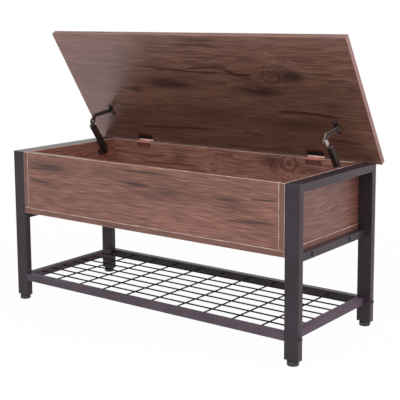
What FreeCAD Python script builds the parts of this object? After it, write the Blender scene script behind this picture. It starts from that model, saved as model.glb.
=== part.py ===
import FreeCAD, Part
import os

import Sketcher
from FreeCAD import Rotation, Vector

# Shoe storage bench: a steel frame that carries a lidded storage box over a wire shelf.
# Millimetres. X runs along the bench, Y from front to rear and Z up.
# The origin is on the floor under the middle of the frame. The lid stands open at rest.

SIZES = {
    # steel frame of rectangular tube
    "frame_length": 970,
    "frame_depth": 388,
    "leg_length": 428,
    "leg_width": 40,
    "leg_depth": 20,
    "top_rail_height": 20,
    "frame_wall": 1.5,
    "frame_corner": 1.6,
    # levelling feet and the plugs that hold them
    "foot_height": 14,
    "foot_diameter": 30,
    "foot_thickness": 11,
    "foot_bevel": 1.5,
    "foot_stud_diameter": 8,
    "foot_stud_length": 22,
    "plug_depth": 22,
    "plug_flange": 1.2,
    "running_clearance": 0.05,
    # bearers, stretchers and shelf rails of small tube
    "rail_wall": 1.2,
    "rail_corner": 1.2,
    "bearer_size": 20,
    "bearer_height": 231,
    "stretcher_width": 20,
    "stretcher_height": 15,
    "stretcher_inset": 99,
    "shelf_rail_size": 20,
    "shelf_rail_height": 44,
    # wire shelf
    "wire_diameter": 4,
    "wire_gap": 0.02,
    "wire_drop": 5,
    "long_wire_count": 7,
    "cross_wire_count": 9,
    # bolts and their threaded inserts
    "bolt_diameter": 6,
    "bolt_hole_clearance": 0.2,
    "bolt_head_diameter": 12,
    "bolt_head_height": 4.5,
    "insert_length": 14,
    # storage box of faced board
    "box_board": 16,
    "box_clearance": 0.5,
    "dowel_diameter": 8,
    "dowel_shallow": 10,
    "dowel_deep": 20,
    "side_dowel_inset": 84,
    "front_dowel_inset": 210,
    "corner_dowel_low": 40,
    "corner_dowel_high": 125,
    "fixing_inset": 145,
    # lid
    "lid_overhang": 15,
    "lid_depth": 398,
    "lid_tail": 6,
    "lid_board": 16,
    "lid_rounding": 1,
    "lid_gap": 2.8,
    "lid_angle": 58,
    # hinges
    "hinge_inset": 181,
    "hinge_width": 52,
    "hinge_leaf": 1.2,
    "hinge_drop": 18,
    "lid_leaf_depth": 25,
    "hinge_countersink": 1,
    "knuckle_diameter": 4.4,
    "middle_knuckle": 20,
    "hinge_pin_diameter": 2,
    "hinge_pin_end": 1,
    "hinge_clearance": 0.4,
    "knuckle_set_in": 1.3,
    "knuckle_gap": 0.3,
    "hinge_screw_spacing": 38,
    "hinge_screw_drop": 9.5,
    # lid stays
    "stay_reach": 112,
    "stay_drop": 5,
    "stay_setback": 70,
    "stay_depth": 26,
    "stay_gap": 0.8,
    "stay_plate_thickness": 4,
    "stay_plate_width": 42,
    "stay_plate_drop": 18,
    "stay_plate_corner": 5,
    "stay_plate_radius": 10,
    "stay_screw_spacing": 14,
    "stay_screw_drop": 13,
    "lower_arm_thickness": 14,
    "lower_arm_radius": 8,
    "lower_arm_rounding": 1.5,
    "tongue_thickness": 2.5,
    "tongue_radius": 5.5,
    "tongue_reach": 20,
    "tongue_seat": 30,
    "upper_arm_thickness": 4,
    "upper_arm_elbow_radius": 10,
    "upper_arm_tip_radius": 6.5,
    "hook_reach": 10,
    "hook_rise": 13.5,
    "stay_pin_diameter": 5,
    "stay_pin_head_diameter": 9,
    "stay_pin_head_height": 1.5,
    "open_pivot_clearance": 0.3,
    "bracket_thickness": 2,
    "bracket_width": 13,
    "bracket_base_width": 12,
    "bracket_base_length": 38,
    "bracket_screw_spacing": 26,
    # wood screws
    "screw_diameter": 3.5,
    "screw_head_diameter": 7,
    "screw_head_height": 1.8,
    "screw_bite": 10,
}

PLACES = {
    "leg_x": "(dim.frame_length - dim.leg_width) / 2",
    "leg_y": "(dim.frame_depth - dim.leg_depth) / 2",
    "frame_top": "dim.foot_height + dim.leg_length",
    "bay_length": "dim.frame_length - 2 * dim.leg_width",
    "bay_depth": "dim.frame_depth - 2 * dim.leg_depth",
    "bearer_x": "(pos.bay_length + dim.bearer_size) / 2",
    "bearer_z": "dim.foot_height + dim.bearer_height + dim.bearer_size / 2",
    "stretcher_y": "dim.frame_depth / 2 - dim.stretcher_inset",
    "shelf_rail_x": "(pos.bay_length + dim.shelf_rail_size) / 2",
    "shelf_rail_y": "(dim.frame_depth - dim.shelf_rail_size) / 2",
    "shelf_rail_z": "dim.foot_height + dim.shelf_rail_height + dim.shelf_rail_size / 2",
    "mesh_depth": "dim.frame_depth - 2 * dim.shelf_rail_size",
    "long_wire_z": "pos.shelf_rail_z + dim.shelf_rail_size / 2 - dim.wire_drop",
    "cross_wire_z": "pos.long_wire_z - dim.wire_diameter - dim.wire_gap",
    "bolt_hole": "dim.bolt_diameter + 2 * dim.bolt_hole_clearance",
    "box_length": "pos.bay_length - 2 * dim.box_clearance",
    "box_floor": "pos.bearer_z + dim.stretcher_height / 2",
    "fixing_x": "pos.bay_length / 2 - dim.fixing_inset",
    "wall_bottom": "pos.box_floor + dim.box_board",
    "wall_height": "pos.frame_top - pos.wall_bottom",
    "wall_inner_x": "pos.box_length / 2 - dim.box_board",
    "wall_inner_y": "dim.frame_depth / 2 - dim.box_board",
    "front_dowel_x": "pos.wall_inner_x - dim.front_dowel_inset",
    "side_dowel_y": "dim.frame_depth / 2 - dim.side_dowel_inset",
    "lid_end": "dim.frame_length / 2 + dim.lid_overhang",
    "knuckle_radius": "dim.knuckle_diameter / 2",
    "hinge_x": "dim.frame_length / 2 - dim.hinge_inset",
    "hinge_y": "dim.frame_depth / 2 - dim.knuckle_set_in",
    "lid_rise": "pos.knuckle_radius + dim.knuckle_gap",
    "axis_rise": "dim.lid_gap - pos.lid_rise",
    "hinge_z": "pos.frame_top + pos.axis_rise",
    "leaf_rear": "-pos.knuckle_radius - dim.hinge_clearance",
    "notch_depth": "pos.knuckle_radius - pos.axis_rise + dim.hinge_clearance",
    "notch_reach": "dim.knuckle_set_in - pos.leaf_rear",
    "notch_half": "dim.hinge_width / 2 + dim.hinge_pin_end + dim.hinge_clearance",
    "flush_head": "dim.screw_diameter + 2 * dim.hinge_countersink",
    "fixed_leaf_y": "pos.wall_inner_y - pos.hinge_y",
    "lid_screw_y": "pos.leaf_rear - dim.lid_leaf_depth / 2",
    "stay_link": "sqrt(dim.stay_reach ^ 2 + dim.stay_drop ^ 2)",
    "stay_fold": "dim.lid_angle - atan(dim.stay_drop / dim.stay_reach) / 1 deg",
    "stay_brace": "sqrt(dim.stay_setback ^ 2 + dim.stay_depth ^ 2)",
    "stay_brace_angle": "atan(dim.stay_depth / dim.stay_setback) / 1 deg",
    "stay_base_y": "pos.hinge_y - dim.stay_setback",
    "stay_base_z": "pos.hinge_z - dim.stay_depth",
    "stay_screw_z": "pos.stay_base_z - dim.stay_screw_drop",
    "stay_elbow_y": "pos.stay_base_y - pos.stay_link * cos(pos.stay_fold)",
    "stay_elbow_z": "pos.stay_base_z + pos.stay_link * sin(pos.stay_fold)",
    "lower_arm_x": "pos.wall_inner_x - dim.stay_plate_thickness - dim.stay_gap",
    "upper_arm_x": "pos.lower_arm_x - dim.lower_arm_thickness - dim.stay_gap",
    "bracket_x": "pos.upper_arm_x - dim.upper_arm_thickness - dim.stay_gap",
    "bracket_screw_x": "pos.bracket_x - dim.bracket_thickness - dim.bracket_base_width / 2",
}

X_AXIS = Vector(1, 0, 0)
Y_AXIS = Vector(0, 1, 0)
Z_AXIS = Vector(0, 0, 1)
HALF_TURN = 180
QUARTER_TURN = 90
TOUCH = 1e-6

doc = FreeCAD.newDocument("shoe_storage_bench")
parts = []


def fill_sheet(name, cells, prefix=""):
    """Make a sheet with one named cell for each entry."""
    sheet = doc.addObject("Spreadsheet::Sheet", name)
    for row, (alias, content) in enumerate(cells.items(), start=1):
        sheet.set(f"A{row}", alias)
        sheet.set(f"B{row}", f"{prefix}{content}")
        sheet.setAlias(f"B{row}", alias)
    return sheet


dim = fill_sheet("dim", SIZES)
pos = fill_sheet("pos", {alias: rule.replace("pos.", "") for alias, rule in PLACES.items()}, "=")
doc.recompute()


def value(rule):
    """The number that a rule on the sheets' cells gives."""
    result = dim.evalExpression(str(rule))
    return float(getattr(result, "Value", result))


def bind(thing, **rules):
    """Tie properties of an object to rules on the sheets' cells."""
    for name, rule in rules.items():
        thing.setExpression(name, str(rule))


def place(thing, x="0", y="0", z="0", axis=None, angle=None):
    """Place an object by rules, turned about an axis by an angle rule."""
    if axis is not None:
        thing.Placement = FreeCAD.Placement(Vector(), Rotation(axis, value(angle)))
        thing.setExpression("Placement.Rotation.Angle", f"{angle}")
    thing.setExpression("Placement.Base.x", x)
    thing.setExpression("Placement.Base.y", y)
    thing.setExpression("Placement.Base.z", z)


def keep(thing, label):
    """Name an object as a sub-part of the bench."""
    thing.Label = label
    parts.append(thing)
    return thing


def mirror(source, normal):
    """A copy of an object across the plane through the origin with this normal."""
    copy = doc.addObject("Part::Mirroring", f"{source.Name}_mirror")
    copy.Source = source
    copy.Normal = normal
    return copy


def group(name, members):
    """Several separate solids held as one object."""
    bundle = doc.addObject("Part::Compound", name)
    bundle.Links = members
    return bundle


def four_corners(name, member):
    """An object at one corner of the bench, repeated at all four."""
    pair = group(f"{name}_pair", [member, mirror(member, X_AXIS)])
    return group(name, [pair, mirror(pair, Y_AXIS)])


def new_body(name):
    """An empty body."""
    return doc.addObject("PartDesign::Body", name)


def sketch_on(body, role, offset=None):
    """A sketch on one of a body's own origin planes, moved along its normal by a rule."""
    plane = next(item for item in body.Origin.OriginFeatures if item.Role == role)
    sketch = body.newObject("Sketcher::SketchObject", f"{body.Name}_sketch")
    sketch.AttachmentSupport = [(plane, "")]
    sketch.MapMode = "FlatFace"
    if offset is not None:
        sketch.setExpression("AttachmentOffset.Base.z", offset)
    return sketch


def measure(sketch, kind, *target, rule):
    """A sketch dimension tied to a rule."""
    index = sketch.addConstraint(Sketcher.Constraint(kind, *target, value(rule)))
    sketch.setExpression(f"Constraints[{index}]", str(rule))


def locate(sketch, geometry, point, x, y):
    """Fix a point of a sketch's geometry by rules."""
    measure(sketch, "DistanceX", -1, 1, geometry, point, rule=x)
    measure(sketch, "DistanceY", -1, 1, geometry, point, rule=y)


def polygon(sketch, corners):
    """A closed outline of straight lines through corners given by rules."""
    points = [Vector(value(x), value(y), 0) for x, y in corners]
    first = sketch.GeometryCount
    for start, end in zip(points, points[1:] + points[:1]):
        sketch.addGeometry(Part.LineSegment(start, end))
    for index in range(len(corners)):
        after = first + (index + 1) % len(corners)
        sketch.addConstraint(Sketcher.Constraint("Coincident", first + index, 2, after, 1))
    for index, (x, y) in enumerate(corners):
        locate(sketch, first + index, 1, x, y)


def rectangle(sketch, left, bottom, right, top):
    """A rectangle between two corners given by rules."""
    polygon(sketch, [(left, bottom), (right, bottom), (right, top), (left, top)])


def centred_rectangle(sketch, width, height):
    """A rectangle about the sketch's origin."""
    rectangle(sketch, f"-({width}) / 2", f"-({height}) / 2", f"({width}) / 2", f"({height}) / 2")


def circle(sketch, x, y, diameter):
    """A circle placed and sized by rules."""
    centre = Vector(value(x), value(y), 0)
    index = sketch.addGeometry(Part.Circle(centre, Z_AXIS, value(diameter) / 2))
    locate(sketch, index, 3, x, y)
    measure(sketch, "Diameter", index, rule=diameter)


def slot(sketch, start, start_radius, end, end_radius):
    """An outline with two round ends on the sketch's X axis, start to the right of end."""
    right = Vector(value(start), 0, 0)
    left = Vector(value(end), 0, 0)
    right_up = Vector(0, value(start_radius), 0)
    left_up = Vector(0, value(end_radius), 0)
    out_right = Vector(value(start_radius), 0, 0)
    out_left = Vector(-value(end_radius), 0, 0)
    first = sketch.GeometryCount
    sketch.addGeometry(Part.Arc(right - right_up, right + out_right, right + right_up))
    sketch.addGeometry(Part.LineSegment(right + right_up, left + left_up))
    sketch.addGeometry(Part.Arc(left + left_up, left + out_left, left - left_up))
    sketch.addGeometry(Part.LineSegment(left - left_up, right - right_up))
    for index in range(4):
        after = first + (index + 1) % 4
        sketch.addConstraint(Sketcher.Constraint("Tangent", first + index, 2, after, 1))
    locate(sketch, first, 3, start, "0")
    locate(sketch, first + 2, 3, end, "0")
    measure(sketch, "Radius", first, rule=start_radius)
    measure(sketch, "Radius", first + 2, rule=end_radius)


def pad(body, sketch, length, side="One side", reverse=False):
    """Raise a sketch into a solid."""
    feature = body.newObject("PartDesign::Pad", f"{body.Name}_pad")
    feature.Profile = sketch
    feature.SideType = side
    feature.Reversed = reverse
    bind(feature, Length=length)
    doc.recompute()
    return feature


def pocket(body, sketch, depth=None, reverse=False):
    """Cut a sketch into a body, to a depth or right through both ways."""
    before = body.Shape.Volume
    feature = body.newObject("PartDesign::Pocket", f"{body.Name}_pocket")
    feature.Profile = sketch
    if depth is None:
        feature.Type = "ThroughAll"
        feature.SideType = "Symmetric"
    else:
        feature.Reversed = reverse
        bind(feature, Length=depth)
    doc.recompute()
    if not body.Shape.Volume < before:
        raise RuntimeError(f"{feature.Name} cuts nothing")
    return feature


def round_edges(body, base, names, radius):
    """Round the named edges of a feature."""
    feature = body.newObject("PartDesign::Fillet", f"{body.Name}_rounding")
    feature.Base = (base, names)
    bind(feature, Radius=radius)
    doc.recompute()


def corner_edges(shape, axis):
    """Names of a bar's straight outer edges along an axis."""
    box = shape.BoundBox
    limits = [(box.XMin, box.XMax), (box.YMin, box.YMax), (box.ZMin, box.ZMax)]
    names = []
    for number, edge in enumerate(shape.Edges, start=1):
        start = edge.Vertexes[0].Point
        along = edge.Vertexes[-1].Point - start
        if abs(along.dot(axis)) < along.Length - TOUCH:
            continue
        across = [index for index in range(3) if abs(axis[index]) < TOUCH]
        if all(min(abs(start[index] - end) for end in limits[index]) < TOUCH for index in across):
            names.append(f"Edge{number}")
    return names


def edges_across(shape, axis):
    """Names of a plate's outline edges, which lie across an axis."""
    names = []
    for number, edge in enumerate(shape.Edges, start=1):
        along = edge.Vertexes[-1].Point - edge.Vertexes[0].Point
        if abs(along.dot(axis)) < TOUCH:
            names.append(f"Edge{number}")
    return names


def tube(name, role, axis, width, height, length, wall, corner, side="Symmetric"):
    """A hollow rectangular bar with rounded outer corners."""
    body = new_body(name)
    section = sketch_on(body, role)
    centred_rectangle(section, width, height)
    centred_rectangle(section, f"{width} - 2 * {wall}", f"{height} - 2 * {wall}")
    bar = pad(body, section, length, side)
    round_edges(body, bar, corner_edges(bar.Shape, axis), corner)
    return body


def rail(name, role, axis, width, height, length):
    """A bar of the thinner tube."""
    return tube(name, role, axis, width, height, length, "dim.rail_wall", "dim.rail_corner")


def drill(body, role, centres, diameter, depth=None, reverse=False, offset=None):
    """Cut round holes at centres given by rules, through or to a depth."""
    sketch = sketch_on(body, role, offset)
    for x, y in centres:
        circle(sketch, x, y, diameter)
    return pocket(body, sketch, depth, reverse)


def countersink(body, role, centres, depth, offset=None, reverse=False):
    """Cut through holes for screws whose heads lie flush with the sketch's plane."""
    before = body.Shape.Volume
    sketch = sketch_on(body, role, offset)
    for x, y in centres:
        circle(sketch, x, y, "dim.screw_diameter")
    feature = body.newObject("PartDesign::Hole", f"{body.Name}_hole")
    feature.Profile = sketch
    feature.ThreadType = "None"
    feature.DepthType = "Dimension"
    feature.DrillPoint = "Flat"
    feature.HoleCutType = "Countersink"
    feature.HoleCutCustomValues = True
    feature.HoleCutCountersinkAngle = QUARTER_TURN
    feature.Reversed = reverse
    bind(feature, Diameter="dim.screw_diameter", Depth=depth, HoleCutDiameter="pos.flush_head")
    doc.recompute()
    if not body.Shape.Volume < before:
        raise RuntimeError(f"{feature.Name} cuts nothing")


def turned(name, outline):
    """A solid of revolution about Z from a half outline in X and Z."""
    body = new_body(name)
    sketch = sketch_on(body, "XZ_Plane")
    polygon(sketch, outline)
    feature = body.newObject("PartDesign::Revolution", f"{name}_turning")
    feature.Profile = sketch
    feature.ReferenceAxis = (sketch, ["V_Axis"])
    doc.recompute()
    return body


def fastener(name, shank_diameter, shank_length, head_diameter, head_height):
    """A bolt, screw or pin with a domed head on top of Z = 0 and its shank below."""
    shank = f"{shank_diameter} / 2"
    head = f"{head_diameter} / 2"
    return turned(name, [
        ("0", f"-({shank_length})"),
        (shank, f"-({shank_length})"),
        (shank, "0"),
        (head, "0"),
        (head, f"{head_height} / 2"),
        (f"{head} - {head_height} / 2", head_height),
        ("0", head_height),
    ])


def wood_screw(name, bite):
    """A small pan-head screw."""
    return fastener(name, "dim.screw_diameter", bite, "dim.screw_head_diameter", "dim.screw_head_height")


def flush_screw(name, length):
    """A small screw whose conical head ends flush at Z = 0."""
    shank = "dim.screw_diameter / 2"
    return turned(name, [
        ("0", f"-({length})"),
        (shank, f"-({length})"),
        (shank, "-dim.hinge_countersink"),
        ("pos.flush_head / 2", "0"),
        ("0", "0"),
    ])


def stay_pin(name, length):
    """A pivot pin of a lid stay."""
    return fastener(name, "dim.stay_pin_diameter", length, "dim.stay_pin_head_diameter",
                    "dim.stay_pin_head_height")


def cylinder(name, diameter, length):
    """A round bar along Z."""
    bar = doc.addObject("Part::Cylinder", name)
    bind(bar, Radius=f"{diameter} / 2", Height=length)
    return bar


def swing_with_lid(thing, x="0"):
    """Place an object that was drawn about the hinge axis with the lid shut."""
    place(thing, x, "pos.hinge_y", "pos.hinge_z", -X_AXIS, "dim.lid_angle")


def build_end_frames():
    """Legs and top rails, mitred at the top corners."""
    leg = tube("leg", "XY_Plane", Z_AXIS, "dim.leg_width", "dim.leg_depth", "dim.leg_length",
               "dim.frame_wall", "dim.frame_corner", "One side")
    mitre = sketch_on(leg, "YZ_Plane")
    polygon(mitre, [
        ("-1.5 * dim.leg_depth", "dim.leg_length + dim.top_rail_height"),
        ("1.5 * dim.leg_depth", "dim.leg_length - 2 * dim.top_rail_height"),
        ("1.5 * dim.leg_depth", "dim.leg_length + dim.top_rail_height"),
    ])
    pocket(leg, mitre)
    bolt_height = "dim.shelf_rail_height + dim.shelf_rail_size / 2"
    bolt_y = "pos.leg_y - pos.shelf_rail_y"
    drill(leg, "YZ_Plane", [(bolt_y, bolt_height)], "pos.bolt_hole")
    place(leg, "pos.leg_x", "-pos.leg_y", "dim.foot_height")
    keep(leg, "leg_front_right")
    keep(mirror(leg, X_AXIS), "leg_front_left")
    rear = keep(mirror(leg, Y_AXIS), "leg_rear_right")
    keep(mirror(rear, X_AXIS), "leg_rear_left")

    top = tube("top_rail", "XZ_Plane", Y_AXIS, "dim.leg_width", "dim.top_rail_height", "dim.frame_depth",
               "dim.frame_wall", "dim.frame_corner")
    mitres = sketch_on(top, "YZ_Plane")
    for end in ("-1", "1"):
        outer = f"{end} * (dim.frame_depth / 2 + dim.leg_depth)"
        inner = f"{end} * (dim.frame_depth / 2 - 2 * dim.leg_depth)"
        lowest = "-1.5 * dim.top_rail_height"
        polygon(mitres, [(outer, "1.5 * dim.top_rail_height"), (inner, lowest), (outer, lowest)])
    pocket(top, mitres)
    place(top, "pos.leg_x", "0", "pos.frame_top - dim.top_rail_height / 2")
    keep(top, "top_rail_right")
    keep(mirror(top, X_AXIS), "top_rail_left")


def build_feet():
    """Levelling feet and the threaded plugs in the leg ends."""
    plug = new_body("plug")
    insert = sketch_on(plug, "XY_Plane")
    centred_rectangle(insert, "dim.leg_width - 2 * dim.frame_wall", "dim.leg_depth - 2 * dim.frame_wall")
    pad(plug, insert, "dim.plug_depth")
    flange = sketch_on(plug, "XY_Plane")
    centred_rectangle(flange, "dim.leg_width", "dim.leg_depth")
    pad(plug, flange, "dim.plug_flange", reverse=True)
    drill(plug, "XY_Plane", [("0", "0")], "dim.foot_stud_diameter + 2 * dim.running_clearance")
    place(plug, "pos.leg_x", "-pos.leg_y", "dim.foot_height")
    keep(four_corners("plugs", plug), "leg_plugs")

    rim = "dim.foot_diameter / 2"
    stud = "dim.foot_stud_diameter / 2"
    stud_top = "dim.foot_thickness + dim.foot_stud_length"
    foot = turned("foot", [
        ("0", "0"),
        (f"{rim} - dim.foot_bevel", "0"),
        (rim, "dim.foot_bevel"),
        (rim, "dim.foot_thickness - dim.foot_bevel"),
        (f"{rim} - dim.foot_bevel", "dim.foot_thickness"),
        (stud, "dim.foot_thickness"),
        (stud, stud_top),
        ("0", stud_top),
    ])
    place(foot, "pos.leg_x", "-pos.leg_y")
    keep(foot, "foot_front_right")
    keep(mirror(foot, X_AXIS), "foot_front_left")
    rear = keep(mirror(foot, Y_AXIS), "foot_rear_right")
    keep(mirror(rear, X_AXIS), "foot_rear_left")


def build_rails():
    """Bearers and stretchers under the box, and the rails round the shelf."""
    bearer = rail("bearer", "XZ_Plane", Y_AXIS, "dim.bearer_size", "dim.bearer_size", "pos.bay_depth")
    drill(bearer, "YZ_Plane", [("-pos.stretcher_y", "0"), ("pos.stretcher_y", "0")],
          "pos.bolt_hole")
    place(bearer, "pos.bearer_x", "0", "pos.bearer_z")
    keep(bearer, "bearer_right")
    keep(mirror(bearer, X_AXIS), "bearer_left")

    stretcher = rail("stretcher", "YZ_Plane", X_AXIS, "dim.stretcher_width", "dim.stretcher_height",
                     "pos.bay_length")
    drill(stretcher, "XY_Plane", [("-pos.fixing_x", "0"), ("pos.fixing_x", "0")],
          "dim.screw_diameter")
    place(stretcher, "0", "-pos.stretcher_y", "pos.bearer_z")
    keep(stretcher, "stretcher_front")
    keep(mirror(stretcher, Y_AXIS), "stretcher_rear")

    side = rail("shelf_side", "XZ_Plane", Y_AXIS, "dim.shelf_rail_size", "dim.shelf_rail_size",
                "pos.bay_depth")
    place(side, "pos.shelf_rail_x", "0", "pos.shelf_rail_z")
    keep(side, "shelf_side_rail_right")
    keep(mirror(side, X_AXIS), "shelf_side_rail_left")

    front = rail("shelf_front", "YZ_Plane", X_AXIS, "dim.shelf_rail_size", "dim.shelf_rail_size",
                 "pos.bay_length")
    place(front, "0", "-pos.shelf_rail_y", "pos.shelf_rail_z")
    keep(front, "shelf_front_rail")
    keep(mirror(front, Y_AXIS), "shelf_rear_rail")


def build_bolted_ends(name, width, height, grip, seat_x, y, z):
    """Threaded inserts in a rail's ends, and the bolts that reach them from outside.

    The bolts' heads lie on a seat at seat_x, and their shanks pass through the grip.
    """
    insert = new_body(f"{name}_insert")
    section = sketch_on(insert, "YZ_Plane")
    centred_rectangle(section, f"{width} - 2 * dim.rail_wall", f"{height} - 2 * dim.rail_wall")
    circle(section, "0", "0", "dim.bolt_diameter")
    pad(insert, section, "dim.insert_length", reverse=True)
    place(insert, "pos.bay_length / 2", y, z)
    keep(four_corners(f"{name}_inserts_group", insert), f"{name}_inserts")

    bolt = fastener(f"{name}_bolt", "dim.bolt_diameter", f"{grip} + dim.insert_length",
                    "dim.bolt_head_diameter", "dim.bolt_head_height")
    place(bolt, seat_x, y, z, Y_AXIS, QUARTER_TURN)
    keep(four_corners(f"{name}_bolts_group", bolt), f"{name}_bolts")


def build_mesh():
    """Wires of the shelf, evenly spaced between its rails."""
    long_count = int(value("dim.long_wire_count"))
    cross_count = int(value("dim.cross_wire_count"))
    long_wires = []
    for number in range(1, long_count + 1):
        wire = cylinder(f"long_wire_{number}", "dim.wire_diameter", "pos.bay_length")
        share = f"({number} / (dim.long_wire_count + 1) - 0.5)"
        place(wire, "-pos.bay_length / 2", f"{share} * pos.mesh_depth", "pos.long_wire_z",
              Y_AXIS, QUARTER_TURN)
        long_wires.append(wire)
    keep(group("long_wires", long_wires), "shelf_long_wires")
    cross_wires = []
    for number in range(1, cross_count + 1):
        wire = cylinder(f"cross_wire_{number}", "dim.wire_diameter", "pos.mesh_depth")
        share = f"({number} / (dim.cross_wire_count + 1) - 0.5)"
        place(wire, f"{share} * pos.bay_length", "pos.mesh_depth / 2", "pos.cross_wire_z",
              X_AXIS, QUARTER_TURN)
        cross_wires.append(wire)
    keep(group("cross_wires", cross_wires), "shelf_cross_wires")


def long_wall(name):
    """A front or rear board of the box, drawn from its inner face towards -Y."""
    body = new_body(name)
    face = sketch_on(body, "XZ_Plane")
    rectangle(face, "-pos.wall_inner_x", "0", "pos.wall_inner_x", "pos.wall_height")
    pad(body, face, "dim.box_board")
    middle = "-dim.box_board / 2"
    foot = [("-pos.front_dowel_x", middle), ("pos.front_dowel_x", middle)]
    drill(body, "XY_Plane", foot, "dim.dowel_diameter", "dim.dowel_deep", True)
    ends = [(middle, "dim.corner_dowel_low"), (middle, "dim.corner_dowel_high")]
    drill(body, "YZ_Plane", ends, "dim.dowel_diameter", "dim.dowel_deep", False, "pos.wall_inner_x")
    drill(body, "YZ_Plane", ends, "dim.dowel_diameter", "dim.dowel_deep", True, "-pos.wall_inner_x")
    return body


def build_box():
    """Boards of the storage box, their dowels and the screws that hold the box down."""
    bottom = new_body("bottom_board")
    outline = sketch_on(bottom, "XY_Plane")
    centred_rectangle(outline, "pos.box_length", "dim.frame_depth")
    pad(bottom, outline, "dim.box_board")
    side_x = "(pos.wall_inner_x + dim.box_board / 2)"
    front_y = "(pos.wall_inner_y + dim.box_board / 2)"
    dowels = []
    for x_sign in ("-1", "1"):
        for y_sign in ("-1", "1"):
            dowels.append((f"{x_sign} * {side_x}", f"{y_sign} * pos.side_dowel_y"))
            dowels.append((f"{x_sign} * pos.front_dowel_x", f"{y_sign} * {front_y}"))
    drill(bottom, "XY_Plane", dowels, "dim.dowel_diameter", "dim.dowel_shallow", False, "dim.box_board")
    fixings = [(f"{x} * pos.fixing_x", f"{y} * pos.stretcher_y")
               for x in (-1, 1) for y in (-1, 1)]
    drill(bottom, "XY_Plane", fixings, "dim.screw_diameter", "dim.screw_bite", True)
    place(bottom, "0", "0", "pos.box_floor")
    keep(bottom, "box_bottom")

    side = new_body("side_board")
    face = sketch_on(side, "YZ_Plane")
    rectangle(face, "-dim.frame_depth / 2", "0", "dim.frame_depth / 2", "pos.wall_height")
    pad(side, face, "dim.box_board")
    drill(side, "XY_Plane", [("dim.box_board / 2", f"{y} * pos.side_dowel_y") for y in (-1, 1)],
          "dim.dowel_diameter", "dim.dowel_deep", True)
    corners = [(f"{y} * {front_y}", height) for y in (-1, 1)
               for height in ("dim.corner_dowel_low", "dim.corner_dowel_high")]
    drill(side, "YZ_Plane", corners, "dim.dowel_diameter", "dim.dowel_shallow", True)
    plate_screws = [(f"pos.stay_base_y + {step} * dim.stay_screw_spacing",
                     "pos.stay_screw_z - pos.wall_bottom") for step in (-1, 0, 1)]
    drill(side, "YZ_Plane", plate_screws, "dim.screw_diameter", "dim.screw_bite", True)
    place(side, "pos.wall_inner_x", "0", "pos.wall_bottom")
    keep(side, "box_side_right")
    keep(mirror(side, X_AXIS), "box_side_left")

    front = long_wall("front_board")
    place(front, "0", "-pos.wall_inner_y", "pos.wall_bottom")
    keep(front, "box_front")

    rear = long_wall("rear_board")
    screws = [(f"{side} * pos.hinge_x + {end} * dim.hinge_screw_spacing / 2",
               "pos.wall_height - dim.hinge_screw_drop") for side in (-1, 1) for end in (-1, 1)]
    drill(rear, "XZ_Plane", screws, "dim.screw_diameter", "dim.screw_bite", True)
    notch = sketch_on(rear, "XZ_Plane", "dim.box_board")
    for side in (-1, 1):
        rectangle(notch, f"{side} * pos.hinge_x - pos.notch_half", "pos.wall_height - pos.notch_depth",
                  f"{side} * pos.hinge_x + pos.notch_half", "pos.wall_height")
    pocket(rear, notch, "pos.notch_reach")
    place(rear, "0", "pos.wall_inner_y", "pos.wall_bottom", Z_AXIS, HALF_TURN)
    keep(rear, "box_rear")

    length = "dim.dowel_shallow + dim.dowel_deep"
    corner_dowels = []
    upright = (("side_dowel", side_x, "pos.side_dowel_y"),
               ("front_dowel", "pos.front_dowel_x", front_y))
    for name, x, y in upright:
        dowel = cylinder(name, "dim.dowel_diameter", length)
        place(dowel, x, y, "pos.wall_bottom - dim.dowel_shallow")
        corner_dowels.append(dowel)
    for name, height in (("low_dowel", "dim.corner_dowel_low"), ("high_dowel", "dim.corner_dowel_high")):
        dowel = cylinder(name, "dim.dowel_diameter", length)
        place(dowel, "pos.wall_inner_x - dim.dowel_deep", front_y, f"pos.wall_bottom + {height}",
              Y_AXIS, QUARTER_TURN)
        corner_dowels.append(dowel)
    keep(four_corners("dowels", group("corner_dowels", corner_dowels)), "box_dowels")

    screw = wood_screw("fixing_screw", "dim.stretcher_height + dim.screw_bite")
    place(screw, "pos.fixing_x", "-pos.stretcher_y", "pos.bearer_z - dim.stretcher_height / 2",
          X_AXIS, HALF_TURN)
    keep(four_corners("fixing_screws", screw), "box_fixing_screws")


def knuckle(body, notches, bore):
    """Roll a leaf's edge round the hinge axis, cut away the notches and bore it for the pin."""
    barrel = sketch_on(body, "YZ_Plane")
    circle(barrel, "0", "0", "dim.knuckle_diameter")
    pad(body, barrel, "dim.hinge_width", "Symmetric")
    cuts = sketch_on(body, "XY_Plane")
    for left, right in notches:
        rectangle(cuts, left, "pos.leaf_rear", right, "dim.knuckle_diameter")
    pocket(body, cuts)
    drill(body, "YZ_Plane", [("0", "0")], bore)


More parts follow.
